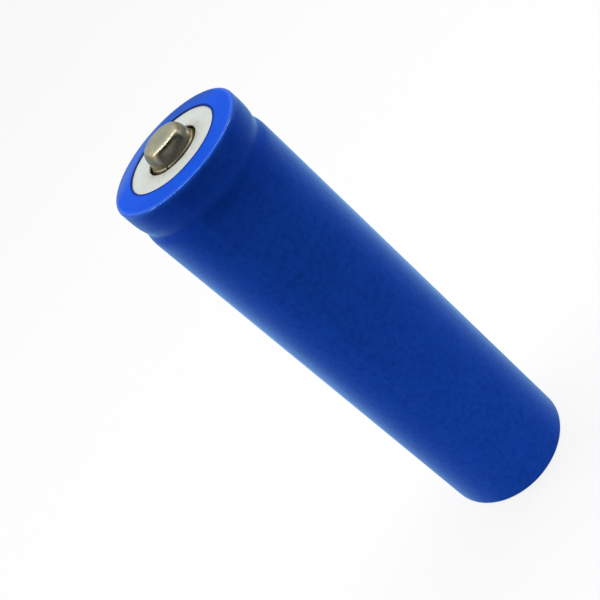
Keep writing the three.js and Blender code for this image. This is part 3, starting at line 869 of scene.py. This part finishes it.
# Each material takes its two tones first
MATS = {
    "sleeve": sleeve_material(),
    "ring": ring_material(),
    "nickel": nickel_material("nickel_plate"),
    "nickel_inner": nickel_material(
        "nickel_plate_inner", (0.64, 0.63, 0.58), (0.50, 0.48, 0.42), rough=0.28, stain_and_shading=0.25),
    "steel": metal_material(
        "drawn_steel", (0.62, 0.63, 0.65), (0.50, 0.51, 0.52), rough=0.26, grain=(5.0, 5.0, 0.15)),
    "gasket": plastic_material(
        "gasket_black", (0.022, 0.024, 0.027), (0.040, 0.043, 0.047), rough=0.46),
    "ptc": plastic_material(
        "ptc_dark", (0.040, 0.038, 0.036), (0.075, 0.070, 0.064), rough=0.60, scale=1.6,
        depth=0.008),
    "alu": metal_material(
        "soft_aluminium", (0.76, 0.77, 0.78), (0.62, 0.63, 0.64), rough=0.32,
        grain=(6.0, 0.5, 0.5)),
    "pp": plastic_material(
        "natural_polypropylene", (0.80, 0.79, 0.74), (0.70, 0.69, 0.64), rough=0.45),
    "film": film_material("blue_film", (0.26, 0.52, 0.70), (0.34, 0.60, 0.76), rough=0.38),
    "anode": coated_material(
        "anode_coating", (0.030, 0.032, 0.036), (0.052, 0.055, 0.060), rough=0.78,
        foil=(0.78, 0.38, 0.20)),
    "cathode": coated_material(
        "cathode_coating", (0.011, 0.011, 0.012), (0.024, 0.024, 0.026), rough=0.84,
        foil=(0.72, 0.73, 0.74)),
    "separator": film_material(
        "separator_film", (0.86, 0.86, 0.85), (0.78, 0.78, 0.77), rough=0.50),
    "tape": film_material("amber_tape", (0.66, 0.34, 0.03), (0.56, 0.26, 0.02), rough=0.28),
    "strip": metal_material(
        "rolled_nickel", (0.62, 0.60, 0.54), (0.50, 0.48, 0.42), rough=0.30, grain=(7.0, 7.0, 0.2)),
    "board": board_material(),
    "paper": plastic_material(
        "insulating_paper", (0.60, 0.65, 0.56), (0.50, 0.55, 0.47), rough=0.78, scale=1.2,
        depth=0.010),
    "chip": plastic_material(
        "moulded_epoxy", (0.009, 0.009, 0.010), (0.018, 0.018, 0.019), rough=0.48, scale=2.0,
        depth=0.008),
    "tin": metal_material(
        "tinned_lead", (0.70, 0.69, 0.67), (0.56, 0.55, 0.53), rough=0.30, grain=(2.0, 2.0, 2.0)),
    "ceramic": plastic_material(
        "capacitor_ceramic", (0.42, 0.25, 0.10), (0.34, 0.19, 0.07), rough=0.50, scale=2.0,
        depth=0.006),
}


def place(obj, node, slot, body="cell"):
    """The piece stands for a CAD node and rides on its body."""
    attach(obj, body)
    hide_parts(node)


# -------------------------------------------------------------- outer sleeve
# Sleeve round the groove: depth below the sleeve's radius, z
GROOVE_STATIONS = (
    (0, 60.9), (0.012, 61.5), (0.07, 62.1), (0.20, 62.65), (0.285, 63.1), (0.25, 63.5),
    (0.14, 64.0), (0.06, 64.5), (0.015, 65.2), (0.005, 66.0), (0.02, 66.60),
)


def groove_curve():
    """A smooth curve through the groove's stations."""
    stations = np.array([(SLEEVE_RADIUS - depth, z) for depth, z in GROOVE_STATIONS])
    radii, heights = stations.T
    slopes = np.gradient(radii, heights)
    curve = []
    for z in np.arange(60.9, 66.60, 0.12):
        k = min(len(radii) - 2, max(0, int(np.searchsorted(heights, z, side="right")) - 1))
        span = heights[k + 1] - heights[k]
        part = (z - heights[k]) / span
        radius = ((2 * part**3 - 3 * part**2 + 1) * radii[k]
                  + (part**3 - 2 * part**2 + part) * span * slopes[k]
                  + (-2 * part**3 + 3 * part**2) * radii[k + 1]
                  + (part**3 - part**2) * span * slopes[k + 1])
        curve.append((radius, z))
    return curve


def sleeve_outline():
    """Outer face, from the lip under the base up to the lip on the top."""
    corner_r = SLEEVE_RADIUS - BASE_CORNER
    foot = [(LIP_RADIUS, 0.0)]
    for i in range(17):
        turn = radians(-90 + 90 * i / 16)
        foot.append((corner_r + BASE_CORNER * cos(turn), BASE_CORNER + BASE_CORNER * sin(turn)))
    wall = dense([(SLEEVE_RADIUS, BASE_CORNER), (SLEEVE_RADIUS, 60.9)], 1.1)[1:-1]
    top = rounded([(SLEEVE_RADIUS - 0.02, 66.60), (SLEEVE_RADIUS - 0.03, 67.33),
                   (LIP_RADIUS, SLEEVE_TOP)], 0.46, 12, closed=False)
    return foot + wall + groove_curve() + top[:-1] + dense(top[-2:], 0.16)[1:]


def sleeve_shift(theta, radius, z):
    """Radial and axial unevenness of the shrunk film."""
    x, y = radius * np.cos(theta), radius * np.sin(theta)

    def across(frequency, height, seed):
        return noise3(x * frequency, y * frequency, height, seed)

    def around(frequency, height, seed):
        return noise3(np.cos(theta) * frequency, np.sin(theta) * frequency, height, seed)

    # the strip and its tape lift the film: one crisp edge, one soft edge
    angle = (np.degrees(theta) - STRIP_ANGLE + 180.0) % 360.0 - 180.0
    tape_lift = smooth(-17.6, -15.8, angle) * (1 - smooth(12.5, 18.5, angle))
    strip_lift = smooth(-13.0, -11.0, angle) * (1 - smooth(9.0, 13.0, angle))
    side = smooth(0.8, 2.4, z) * (1 - smooth(66.6, 67.1, z)) * smooth(8.6, 8.95, radius)
    radial = (0.045 * tape_lift + 0.012 * strip_lift) * side
    # slow waviness of the film and fine draw lines
    waves = 0.006 * across(0.22, z * 0.10, 3) + 0.0022 * across(1.5, z * 0.03, 5)
    radial = radial + waves * side
    # puckers where the film turns into the groove and over the shoulder
    groove = np.exp(-((z - GROOVE_Z) / 0.9) ** 2) * smooth(8.6, 8.9, radius)
    radial = radial + groove * (0.020 * across(0.55, 4.0, 9) + 0.006 * across(1.7, z * 0.8, 10))
    shoulder = smooth(66.4, 67.1, z) * smooth(7.6, 9.0, radius)
    radial = radial + shoulder * 0.010 * across(0.8, 1.0, 11)
    # lap over the crimp: gentle puckers, and an edge that isn't a perfect circle
    lap = smooth(66.9, 67.2, z) * (1 - smooth(8.6, 9.0, radius))
    axial = lap * (0.010 * across(0.45, 0.0, 13) + 0.005 * around(5.0, radius * 0.4, 14))
    edge = lap * (1 - smooth(6.35, 7.2, radius))
    radial = radial + edge * (0.050 * around(1.7, 0.0, 15) + 0.014 * around(8.0, 0.0, 16))
    low = (1 - smooth(0.25, 0.6, z)) * (1 - smooth(6.4, 7.4, radius))
    radial = radial + low * (0.06 * around(2.1, 7.0, 17) + 0.02 * around(9.0, 7.0, 18))
    return radial, axial


def make_sleeve():
    outer = sleeve_outline()
    # shrinking to a smaller circle thickens the film towards its upper edge
    inner = [
        (radius, z - 0.055 * float(1 - smooth(6.4, 7.6, radius)) if z > 67 else z)
        for radius, z in offset_line(outer, SLEEVE_THICKNESS)[::-1]
    ]
    edge_radius = LIP_RADIUS - 0.035
    top_edge = (edge_radius, 0.5 * (outer[-1][1] + inner[0][1]) + 0.01)
    low_edge = (edge_radius, SLEEVE_THICKNESS / 2)
    sleeve = revolve("sleeve_film", outer + [top_edge] + inner + [low_edge], MATS["sleeve"],
                     segments=320, shift=sleeve_shift, sharp=60.0)
    place(sleeve, "outer_sleeve", "sleeve_blue")


make_sleeve()


# ------------------------------------------------------------ insulator ring
def ring_shift(theta, radius, z):
    """A ragged hole edge and a slightly wavy face."""
    x, y = np.cos(theta), np.sin(theta)
    return (0.018 * noise3(x * 6, y * 6, 0, 21) * (1 - smooth(3.9, 4.6, radius)),
            0.010 * noise3(radius * x * 0.5, radius * y * 0.5, 0, 22))


ring = rounded([(RING_HOLE, 67.17), (6.40, 67.17), (RING_RADIUS, 66.87), (RING_RADIUS, 67.11),
                (6.45, 67.42), (RING_HOLE, 67.42)], [0.05, 0.5, 0.05, 0.05, 0.5, 0.06])
place(revolve("fibre_ring", dense(ring, 0.35, closed=True), MATS["ring"], segments=200,
              shift=ring_shift, sharp=50.0), "insulator_ring", "ring_white")

# ---------------------------------------------------------------- button cap
# Outer face from the axis down to the flange: radius, z
CROWN = [
    (0, 69.60), (0.9, 69.595), (1.55, 69.58), (2.0, 69.545), (2.28, 69.475), (2.48, 69.375),
    (2.63, 69.235), (2.75, 69.04), (2.84, 68.80), (2.905, 68.52), (2.955, 68.22), (2.99, 67.95),
    (3.01, 67.80), (3.03, 67.68), (3.065, 67.58), (3.12, 67.48), (3.19, 67.39), (3.27, 67.31),
    (3.36, 67.22), (3.45, 67.12), (3.55, 67.02), (3.68, 66.91), (3.88, 66.82),
]
# Openings through the foot of the wall: (x, y, z) size, centre radius, centre z, angle
BUTTON_CUTS = (
    ((0.95, 1.10, 0.62), 3.30, FLANGE_Z + 0.12, 90),
    ((0.95, 1.10, 0.62), 3.30, FLANGE_Z + 0.12, 270),
    ((0.66, 0.60, 0.90), 3.62, FLANGE_Z + 0.36, 171),
    ((0.52, 0.44, 0.90), 3.46, FLANGE_Z + 0.36, -171),
    ((0.60, 0.80, 0.80), 3.62, FLANGE_Z + 0.36, 8),
    ((0.50, 0.24, 0.30), 3.30, 67.44, -127),
)


def make_button():
    rim = [
        (FLANGE_RADIUS - 0.06, FLANGE_Z + 0.20), (FLANGE_RADIUS, FLANGE_Z + 0.15),
        (FLANGE_RADIUS, FLANGE_Z + 0.05), (FLANGE_RADIUS - 0.05, FLANGE_Z),
    ]
    inner = [(max(radius, 0.0), max(z, FLANGE_Z))
             for radius, z in offset_line(CROWN, -BUTTON_WALL)][::-1]
    inner[-1] = (0.0, inner[-1][1])
    button = revolve("button_shell", CROWN + rim + inner, MATS["nickel"], segments=160,
                     closed=False, sharp=40.0)
    cut(button, [box_cutter(size, (radius, 0, z), angle, axis=0)
                 for size, radius, z, angle in BUTTON_CUTS], sharp=40.0)
    place(button, "button_cap", "nickel_plate")


make_button()

# ------------------------------------------------------- cell can and header
can_outer = rounded(
    [(0, CAN_FLOOR), (9.01, CAN_FLOOR), (9.01, 61.05), (8.55, 62.40), (8.02, 62.80), (8.02, 63.50),
     (8.60, 63.98), (8.90, 64.25), (8.90, 66.60), (7.10, 66.60)],
    [0, 0.9, 0.8, 0.5, 0.30, 0.30, 0.25, 0.2, 0.30, 0], 7, closed=False)
can_inner = offset_line(can_outer, CAN_WALL)
can_inner[0] = (0.0, CAN_FLOOR + CAN_WALL)
place(revolve("drawn_can", can_outer + [(7.06, 66.475)] + can_inner[::-1], MATS["steel"],
              segments=160, closed=False, sharp=50.0), "cell_can", "can_steel")

gasket = rounded([
    (8.60, 64.36), (8.60, 66.00), (8.50, 66.31), (6.90, 66.31), (6.90, 66.03),
    (8.15, 66.03), (8.15, 64.62), (7.60, 64.62), (7.60, 64.30), (8.20, 64.16)], 0.07)
place(revolve("crimp_gasket", gasket, MATS["gasket"]), "sealing_gasket", "gasket_black")

header = revolve("pressed_header", rounded(
    [(0, 66.45), (5.14, 66.45), (5.58, 65.97), (8.10, 65.97), (8.10, 65.60), (5.34, 65.60),
     (5.00, 66.10), (0, 66.10)],
    [0, 0.22, 0.12, 0.08, 0.06, 0.10, 0.18, 0], 6, closed=False),
    MATS["nickel_inner"], segments=128, closed=False)
cut(header, hole_cutters(hole_radius=0.55, circle_radius=5.28, z=66.1, angles=(20, 110, 200, 290)))
place(header, "header_cap", "nickel_plate")

place(revolve("thermal_ring", rounded(rectangle(6.0, 8.1, 65.27, 65.57), 0.05), MATS["ptc"],
              segments=128), "ptc_ring", "ptc_dark")
place(revolve("scored_disc", rounded(
    [(2.73, 64.74), (4.9, 64.96), (8.1, 64.96), (8.1, 65.24), (4.86, 65.24), (2.73, 64.98)],
    [0.03, 0.3, 0.06, 0.06, 0.3, 0.03], 5), MATS["alu"], segments=128), "vent_disc", "alu_foil")
place(revolve("snap_dome", rounded(
    [(0, 64.62), (0.75, 64.62), (2.65, 64.76), (2.65, 65.00), (1.1, 64.86), (0, 64.86)],
    [0, 0.5, 0.04, 0.04, 0.4, 0], 6, closed=False), MATS["alu"], segments=96, closed=False),
    "vent_dome", "alu_foil", "vent")
place(revolve("spacer_ring", rounded(rectangle(5.0, 7.5, 64.62, 64.93), 0.05), MATS["pp"],
              segments=128), "cid_insulator_ring", "pp_white")

plate = revolve("pierced_plate", disc_outline(7.4, 64.28, 64.58, corner=0.06, steps=4),
                MATS["alu"], segments=128, closed=False)
cut(plate, hole_cutters(hole_radius=0.85, circle_radius=4.0, z=64.4, angles=range(30, 390, 60)))
place(plate, "cid_base_plate", "alu_foil")

# ------------------------------------------------------------------- winding
place(sheet_band(
    "upper_tab",
    [(2.06, 52.0), (2.06, 62.1), (2.6, 62.6), (5.9, 62.8), (6.2, 63.1), (6.0, 63.6),
     (2.0, 64.16), (0.4, 64.18)],
    thickness=0.12, width=2.4, material=MATS["alu"], angle=40, cuts=6, bend=0.3),
    "cathode_tab", "alu_foil")

top_disc = revolve("upper_film_disc", rounded(rectangle(2.35, 8.60, 61.30, 61.50), 0.04),
                   MATS["film"], segments=128)
cut(top_disc, hole_cutters(hole_radius=0.9, circle_radius=5.4, z=61.4, angles=range(0, 360, 72)))
place(top_disc, "top_insulator_disc", "film_blue")

TURNS = 16
ROLL_START, ROLL_END = 2.45, 8.35
PITCH = (ROLL_END - ROLL_START) / (TURNS + 1)
COAT_T, FILM_T = 0.36 * PITCH, 0.09 * PITCH  # electrode and separator thickness
GAP = (PITCH - 2 * COAT_T - 2 * FILM_T) / 4
SPIRAL_STEP = 6.0  # degrees
# name, CAD node, slot, material, start radius, thickness, low z, high z
SHEETS = (
    ("wound_anode", "anode_sheet", "anode_black", "anode", ROLL_START, COAT_T, 4.15, 60.45),
    ("wound_film_inner", "separator_inner", "separator_white", "separator",
     ROLL_START + COAT_T + GAP, FILM_T, 3.55, 61.05),
    ("wound_cathode", "cathode_sheet", "cathode_black", "cathode",
     ROLL_START + COAT_T + FILM_T + 2 * GAP, COAT_T, 4.65, 59.95),
    ("wound_film_outer", "separator_outer", "separator_white", "separator",
     ROLL_START + 2 * COAT_T + FILM_T + 3 * GAP, FILM_T, 3.55, 61.05),
)
spiral_angles = np.radians(np.arange(int(TURNS * 360 / SPIRAL_STEP) + 1) * SPIRAL_STEP)
for name, node, slot, material, start, thickness, low, high in SHEETS:
    inside = start + PITCH * spiral_angles / (2 * math.pi)
    section = rectangle(inside, inside + thickness, low, high)
    place(swept_bar(name, section, spiral_angles, MATS[material], sharp=45.0), node, slot)


def tape_shift(theta, radius, z):
    x, y = radius * np.cos(theta), radius * np.sin(theta)
    return 0.006 * noise3(x * 0.4, y * 0.4, z * 0.3, 31), 0 * z


place(revolve("roll_tape", dense(rectangle(8.58, 8.64, 8.0, 58.0), 2.5, closed=True),
              MATS["tape"], segments=128, shift=tape_shift), "winding_tape", "tape_amber")

# slit tube up the core, with a 24 degree slit centred on +X
tube_section = [(1.75, 3.7), (1.75, 60.7), (1.50, 60.7), (1.50, 3.7)]
tube_angles = np.radians(12 + 336 * np.arange(49) / 48)
place(swept_bar("slit_core_tube", tube_section, tube_angles, MATS["steel"], sharp=40.0,
                reverse=True), "centre_pin", "can_steel")

place(sheet_band(
    "lower_tab", [(-1.6, 3.10), (7.9, 3.10), (8.40, 3.45), (8.48, 3.9), (8.48, 13.0)],
    thickness=0.10, width=3.0, material=MATS["strip"], angle=160, cuts=8, bend=0.25),
    "anode_tab", "nickel_strip")
place(revolve("lower_film_disc", rounded(rectangle(1.1, 7.75, 3.24, 3.42), 0.04), MATS["film"],
              segments=128), "bottom_insulator_disc", "film_blue")

# --------------------------------------------------- strip down to the board
place(sheet_band(
    "edge_tape",
    [(9.055, 2.95), (9.055, 60.9), (8.98, 61.6), (8.77, 62.2), (8.56, 62.7), (8.56, 63.4),
     (8.80, 63.86), (8.95, 64.22), (8.95, 66.34), (8.84, 66.57), (8.62, 66.65), (6.60, 66.65)],
    thickness=0.03, width=TAPE_WIDTH, material=MATS["tape"], angle=STRIP_ANGLE, cuts=14,
    bend=0.12), "strip_tape", "tape_amber")
place(sheet_band(
    "long_strip",
    [(6.60, LINK_Z), (8.62, LINK_Z), (8.98, 1.62), (9.13, 2.1), (9.13, 60.9), (9.06, 61.6),
     (8.94, 62.2), (8.76, 62.75), (8.74, 63.4), (8.96, 63.9), (9.05, 64.3), (9.05, 66.38),
     (8.90, 66.66), (8.62, 66.745), (6.40, 66.745), (5.70, 66.53), (3.75, 66.53)],
    thickness=0.07, width=STRIP_WIDTH, material=MATS["strip"], angle=STRIP_ANGLE, cuts=12,
    bend=0.12), "positive_strip", "nickel_strip")

# ----------------------------------------------------------- board and base
place(revolve("base_contact", rounded(
    [(0, 0.10), (6.10, 0.10), (6.24, 0.17), (7.75, 0.17), (7.75, 0.42), (0, 0.42)],
    [0, 0.12, 0.08, 0.05, 0.05, 0], 5, closed=False), MATS["nickel"], closed=False),
    "bottom_contact_disc", "nickel_plate")
place(revolve("round_board", disc_outline(8.4, 0.46, 1.26, corner=0.05, steps=3), MATS["board"],
              segments=128, closed=False), "protection_board", "board_green")
paper = revolve("paper_disc", disc_outline(8.85, 2.42, 2.57, corner=0.03, steps=3),
                MATS["paper"], segments=128, closed=False)
cut(paper, [box_cutter((3.2, 2.2, 1.0), (0, 5.2, 2.5), 0, axis=2)])
place(paper, "board_insulator_disc", "fish_paper")
place(sheet_band(
    "board_link",
    [(1.2, 2.67), (4.55, 2.67), (4.85, 2.45), (4.95, 1.6), (5.25, LINK_Z), (7.6, LINK_Z)],
    thickness=0.08, width=2.2, material=MATS["strip"], angle=90, cuts=6, bend=0.15),
    "negative_link", "nickel_strip")

CHIP_FOOT = 0.06  # gap under a chip's body
LEAD_TOP = 0.48  # where a lead leaves the body
LEAD_THICKNESS = 0.10


def chip(name, node, width, depth, height, x, y, angle, leads, lead_width):
    """Moulded chip with a row of bent leads along both long sides of its width."""
    body_height = height - CHIP_FOOT
    centre = (0, 0, PARTS_Z + CHIP_FOOT + body_height / 2)
    body = rounded_block(name, (width, depth, body_height), centre, MATS["chip"], angle=0,
                         bevel=0.07, segments=3, taper=0.05)
    cosine, sine = cos(radians(angle)), sin(radians(angle))
    turn = Matrix(((cosine, -sine, 0, x * MM), (sine, cosine, 0, y * MM), (0, 0, 1, 0),
                   (0, 0, 0, 1)))
    body.data.transform(turn)
    place(body, node, "chip_black")
    half = depth / 2
    line = [(half - 0.10, PARTS_Z + LEAD_TOP), (half + 0.20, PARTS_Z + LEAD_TOP),
            (half + 0.34, PARTS_Z + CHIP_FOOT), (half + 0.70, PARTS_Z + CHIP_FOOT)]
    profile = strip_profile(rounded(line, 0.10, closed=False), LEAD_THICKNESS)
    count = len(profile)
    faces = side_quads(1, count) + cap_quads(0, count) + cap_quads(count, count)
    for i in range(leads):
        middle = (i - (leads - 1) / 2) * (width * 0.8 / (leads - 1))
        for side, letter in ((-1, "a"), (1, "b")):
            verts = [(edge * MM, side * out * MM, z * MM)
                     for edge in (middle - lead_width / 2, middle + lead_width / 2)
                     for out, z in profile]
            lead = build(f"{name}_lead_{i}_{letter}", verts, faces, MATS["tin"], 40.0,
                         orient=False)
            agree_normals(lead)
            lead.data.transform(turn)
            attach(lead, "cell")


chip("switch_chip_case", "switch_chip", width=3.0, depth=4.4, height=1.0, x=3.2, y=0.2, angle=0,
     leads=4, lead_width=0.30)
chip("guard_chip_case", "guard_chip", width=2.9, depth=1.6, height=1.05, x=-2.9, y=1.4, angle=90,
     leads=3, lead_width=0.34)


def two_end(name, node, x, y, angle, height, material, slot):
    """Chip resistor or capacitor: a body between two tinned ends."""
    z = PARTS_Z + height / 2
    body = rounded_block(name, (1.02, 0.76, height - 0.03), (x, y, z), MATS[material], angle,
                         bevel=0.03, segments=2)
    place(body, node, slot)
    for side, letter in ((-1, "a"), (1, "b")):
        reach = side * 0.655
        centre = (x + reach * cos(radians(angle)), y + reach * sin(radians(angle)), z)
        end = rounded_block(f"{name}_end_{letter}", (0.29, 0.80, height), centre, MATS["tin"],
                            angle, bevel=0.05, segments=3)
        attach(end, "cell")


# name, CAD node, x, y, angle, height, material, slot
for row in (
    ("resistor_case_a", "resistor_a", -0.2, 2.6, 90, 0.45, "chip", "chip_black"),
    ("resistor_case_b", "resistor_b", -5.2, 2.2, 90, 0.45, "chip", "chip_black"),
    ("capacitor_case", "capacitor", -4.2, -2.6, 0, 0.80, "ceramic", "ceramic_tan"),
):
    two_end(*row)


# ------------------------------------------------------------- stage and light
def area(name, location, target, size, size_y, power):
    """Rectangular light in metres and watts, hidden from the camera."""
    light = bpy.data.lights.new(name, "AREA")
    light.shape = "RECTANGLE"
    light.size = size
    light.size_y = size_y
    light.energy = power
    obj = add_object(name, light)
    obj.location = Vector(location)
    way = (Vector(target) - obj.location).normalized()
    obj.rotation_euler = way.to_track_quat("-Z", "Y").to_euler()
    obj.visible_camera = False
    return obj


# The soft room's light is dim in front of the cell, as the camera sees it, and bright
# above behind it. Reflections, direct view and diffuse light each get their own strength.
DIFFUSE_LOW, DIFFUSE_HIGH = 0.39, 1.12


def make_world():
    world = bpy.data.worlds.new("studio")
    scene.world = world
    world.use_nodes = True
    if hasattr(world, "cycles"):  # present only when Cycles is enabled
        world.cycles.sampling_method = "NONE"  # a smooth room needs no importance map
    room = Graph(world.node_tree, interpolation="SMOOTHSTEP")
    fade, mul, add = room.fade, room.mul, room.add

    # along: how far a direction points away from the camera; height: how far up
    transform = room.node("ShaderNodeVectorTransform", vector_type="VECTOR",
                          convert_from="CAMERA", convert_to="WORLD")
    ahead = room.feed(transform, (0.0, 0.0, 1.0))
    level = room.vmath("NORMALIZE", room.vmath("MULTIPLY", ahead, (1.0, 1.0, 0.0)))
    direction = room.node("ShaderNodeTexCoord").outputs["Generated"]
    along = room.vmath("DOT_PRODUCT", direction, level, output="Value")
    height = room.separate(direction)[2]
    up_half = fade(height, zero=-0.06, full=0.06)

    above = mul(fade(along, zero=-0.75, full=0.70), DIFFUSE_HIGH)
    soft = add(DIFFUSE_LOW, mul(up_half, room.sub(above, DIFFUSE_LOW)))

    # reflections: a mid-grey wall behind, a pale blue-grey floor below, dark elsewhere
    behind = mul(fade(along, zero=-0.38, full=0.12), fade(height, zero=0.95, full=0.78),
                 room.remap(height, source=(0.38, 0.64), target=(0.48, 0.68)))
    front = mul(fade(along, zero=-0.30, full=-0.75), fade(height, zero=0.80, full=0.45))
    over = add(0.03, add(behind, mul(front, 0.24)))
    under = mul(room.remap(along, source=(-0.50, 0.65), target=(0.03, 1.50)),
                room.remap(height, source=(-0.30, -0.50), target=(0.52, 1.0)),
                room.remap(height, source=(-0.54, -0.70), target=(1.0, 0.58)))
    mirror = add(under, mul(up_half, room.sub(over, under)))

    # seen directly, it starts as pale as the floor's far edge, so no horizon shows
    direct = room.remap(height, source=(0.0, 0.5), target=(0.937, 0.99))
    rays = room.node("ShaderNodeLightPath").outputs
    strength = room.mix_float(rays["Is Glossy Ray"], soft, mirror)
    strength = room.mix_float(rays["Is Camera Ray"], strength, direct)
    background = first_node(room.tree, "BACKGROUND")
    room.put(strength, background.inputs["Strength"])
    # only reflections of the lower half are blue
    glossy = room.node("ShaderNodeLightPath").outputs["Is Glossy Ray"]
    hue = room.mix(mul(glossy, room.sub(1.0, up_half)), (1.0, 1.0, 1.0), (0.44, 0.80, 1.0))
    room.put(hue, background.inputs["Color"])


def make_floor():
    """Pale glowing floor, seen by the camera but not by diffuse or glossy rays."""
    material = bpy.data.materials.new("pale_floor")
    material.use_nodes = True
    inputs = first_node(material.node_tree, "BSDF_PRINCIPLED").inputs
    inputs["Base Color"].default_value = (0.12, 0.12, 0.12, 1)
    inputs["Roughness"].default_value = 1.0
    inputs["Specular IOR Level"].default_value = 0.0
    inputs["Emission Color"].default_value = (1, 1, 1, 1)
    inputs["Emission Strength"].default_value = 0.87
    bpy.ops.mesh.primitive_plane_add(size=6.0, location=(0, 0, -0.00002))
    floor = bpy.context.object
    floor.name = "studio_floor"
    floor.data.materials.append(material)
    floor.visible_diffuse = False
    floor.visible_glossy = False


make_world()
make_floor()
# long strip above and behind the cell, on the +Y side
area("key_strip", location=(0.0, 0.060, 0.275), target=(0, 0, 0.069), size=0.66, size_y=0.032,
     power=0.62)
# small light near the floor on the -Y side
base_fill = area("base_fill", location=(0.0, -0.062, 0.004), target=(0, 0, 0.012), size=0.05,
                 size_y=0.02, power=0.0087)
base_fill.visible_glossy = False

# ------------------------------------------------------------------- camera
# The camera stands on the -Y side, above the cell, and is rolled about its line of sight.
ELEVATION = radians(30.95)
ROLL = radians(-49.17)
DISTANCE = 143.974054
LOOK_Z = 33.178378  # point on the axis the distance is taken from
PAN_RIGHT, PAN_UP = -7.852216, 2.342595  # sideways moves in the rolled view
LENS = 67.47
SENSOR = 36.0


def make_camera():
    back = Vector((0, -cos(ELEVATION), sin(ELEVATION)))
    ahead = -back
    level_right = ahead.cross(Vector((0, 0, 1))).normalized()
    level_up = level_right.cross(ahead)
    right = cos(ROLL) * level_right + sin(ROLL) * level_up
    up = -sin(ROLL) * level_right + cos(ROLL) * level_up
    place_mm = Vector((0, 0, LOOK_Z)) + back * DISTANCE + right * PAN_RIGHT + up * PAN_UP
    data = bpy.data.cameras.new("camera")
    camera = add_object("camera", data)
    columns = (right, up, back, place_mm * MM)
    rows = [[column[k] for column in columns] for k in range(3)]
    camera.matrix_world = Matrix((*rows, (0, 0, 0, 1)))
    data.sensor_width = SENSOR
    data.lens = LENS
    data.clip_start = 0.005
    data.clip_end = 50.0
    scene.camera = camera


make_camera()

scene.view_settings.view_transform = "Standard"
scene.view_settings.look = "None"
scene.view_settings.exposure = 0.0
scene.view_settings.gamma = 1.0
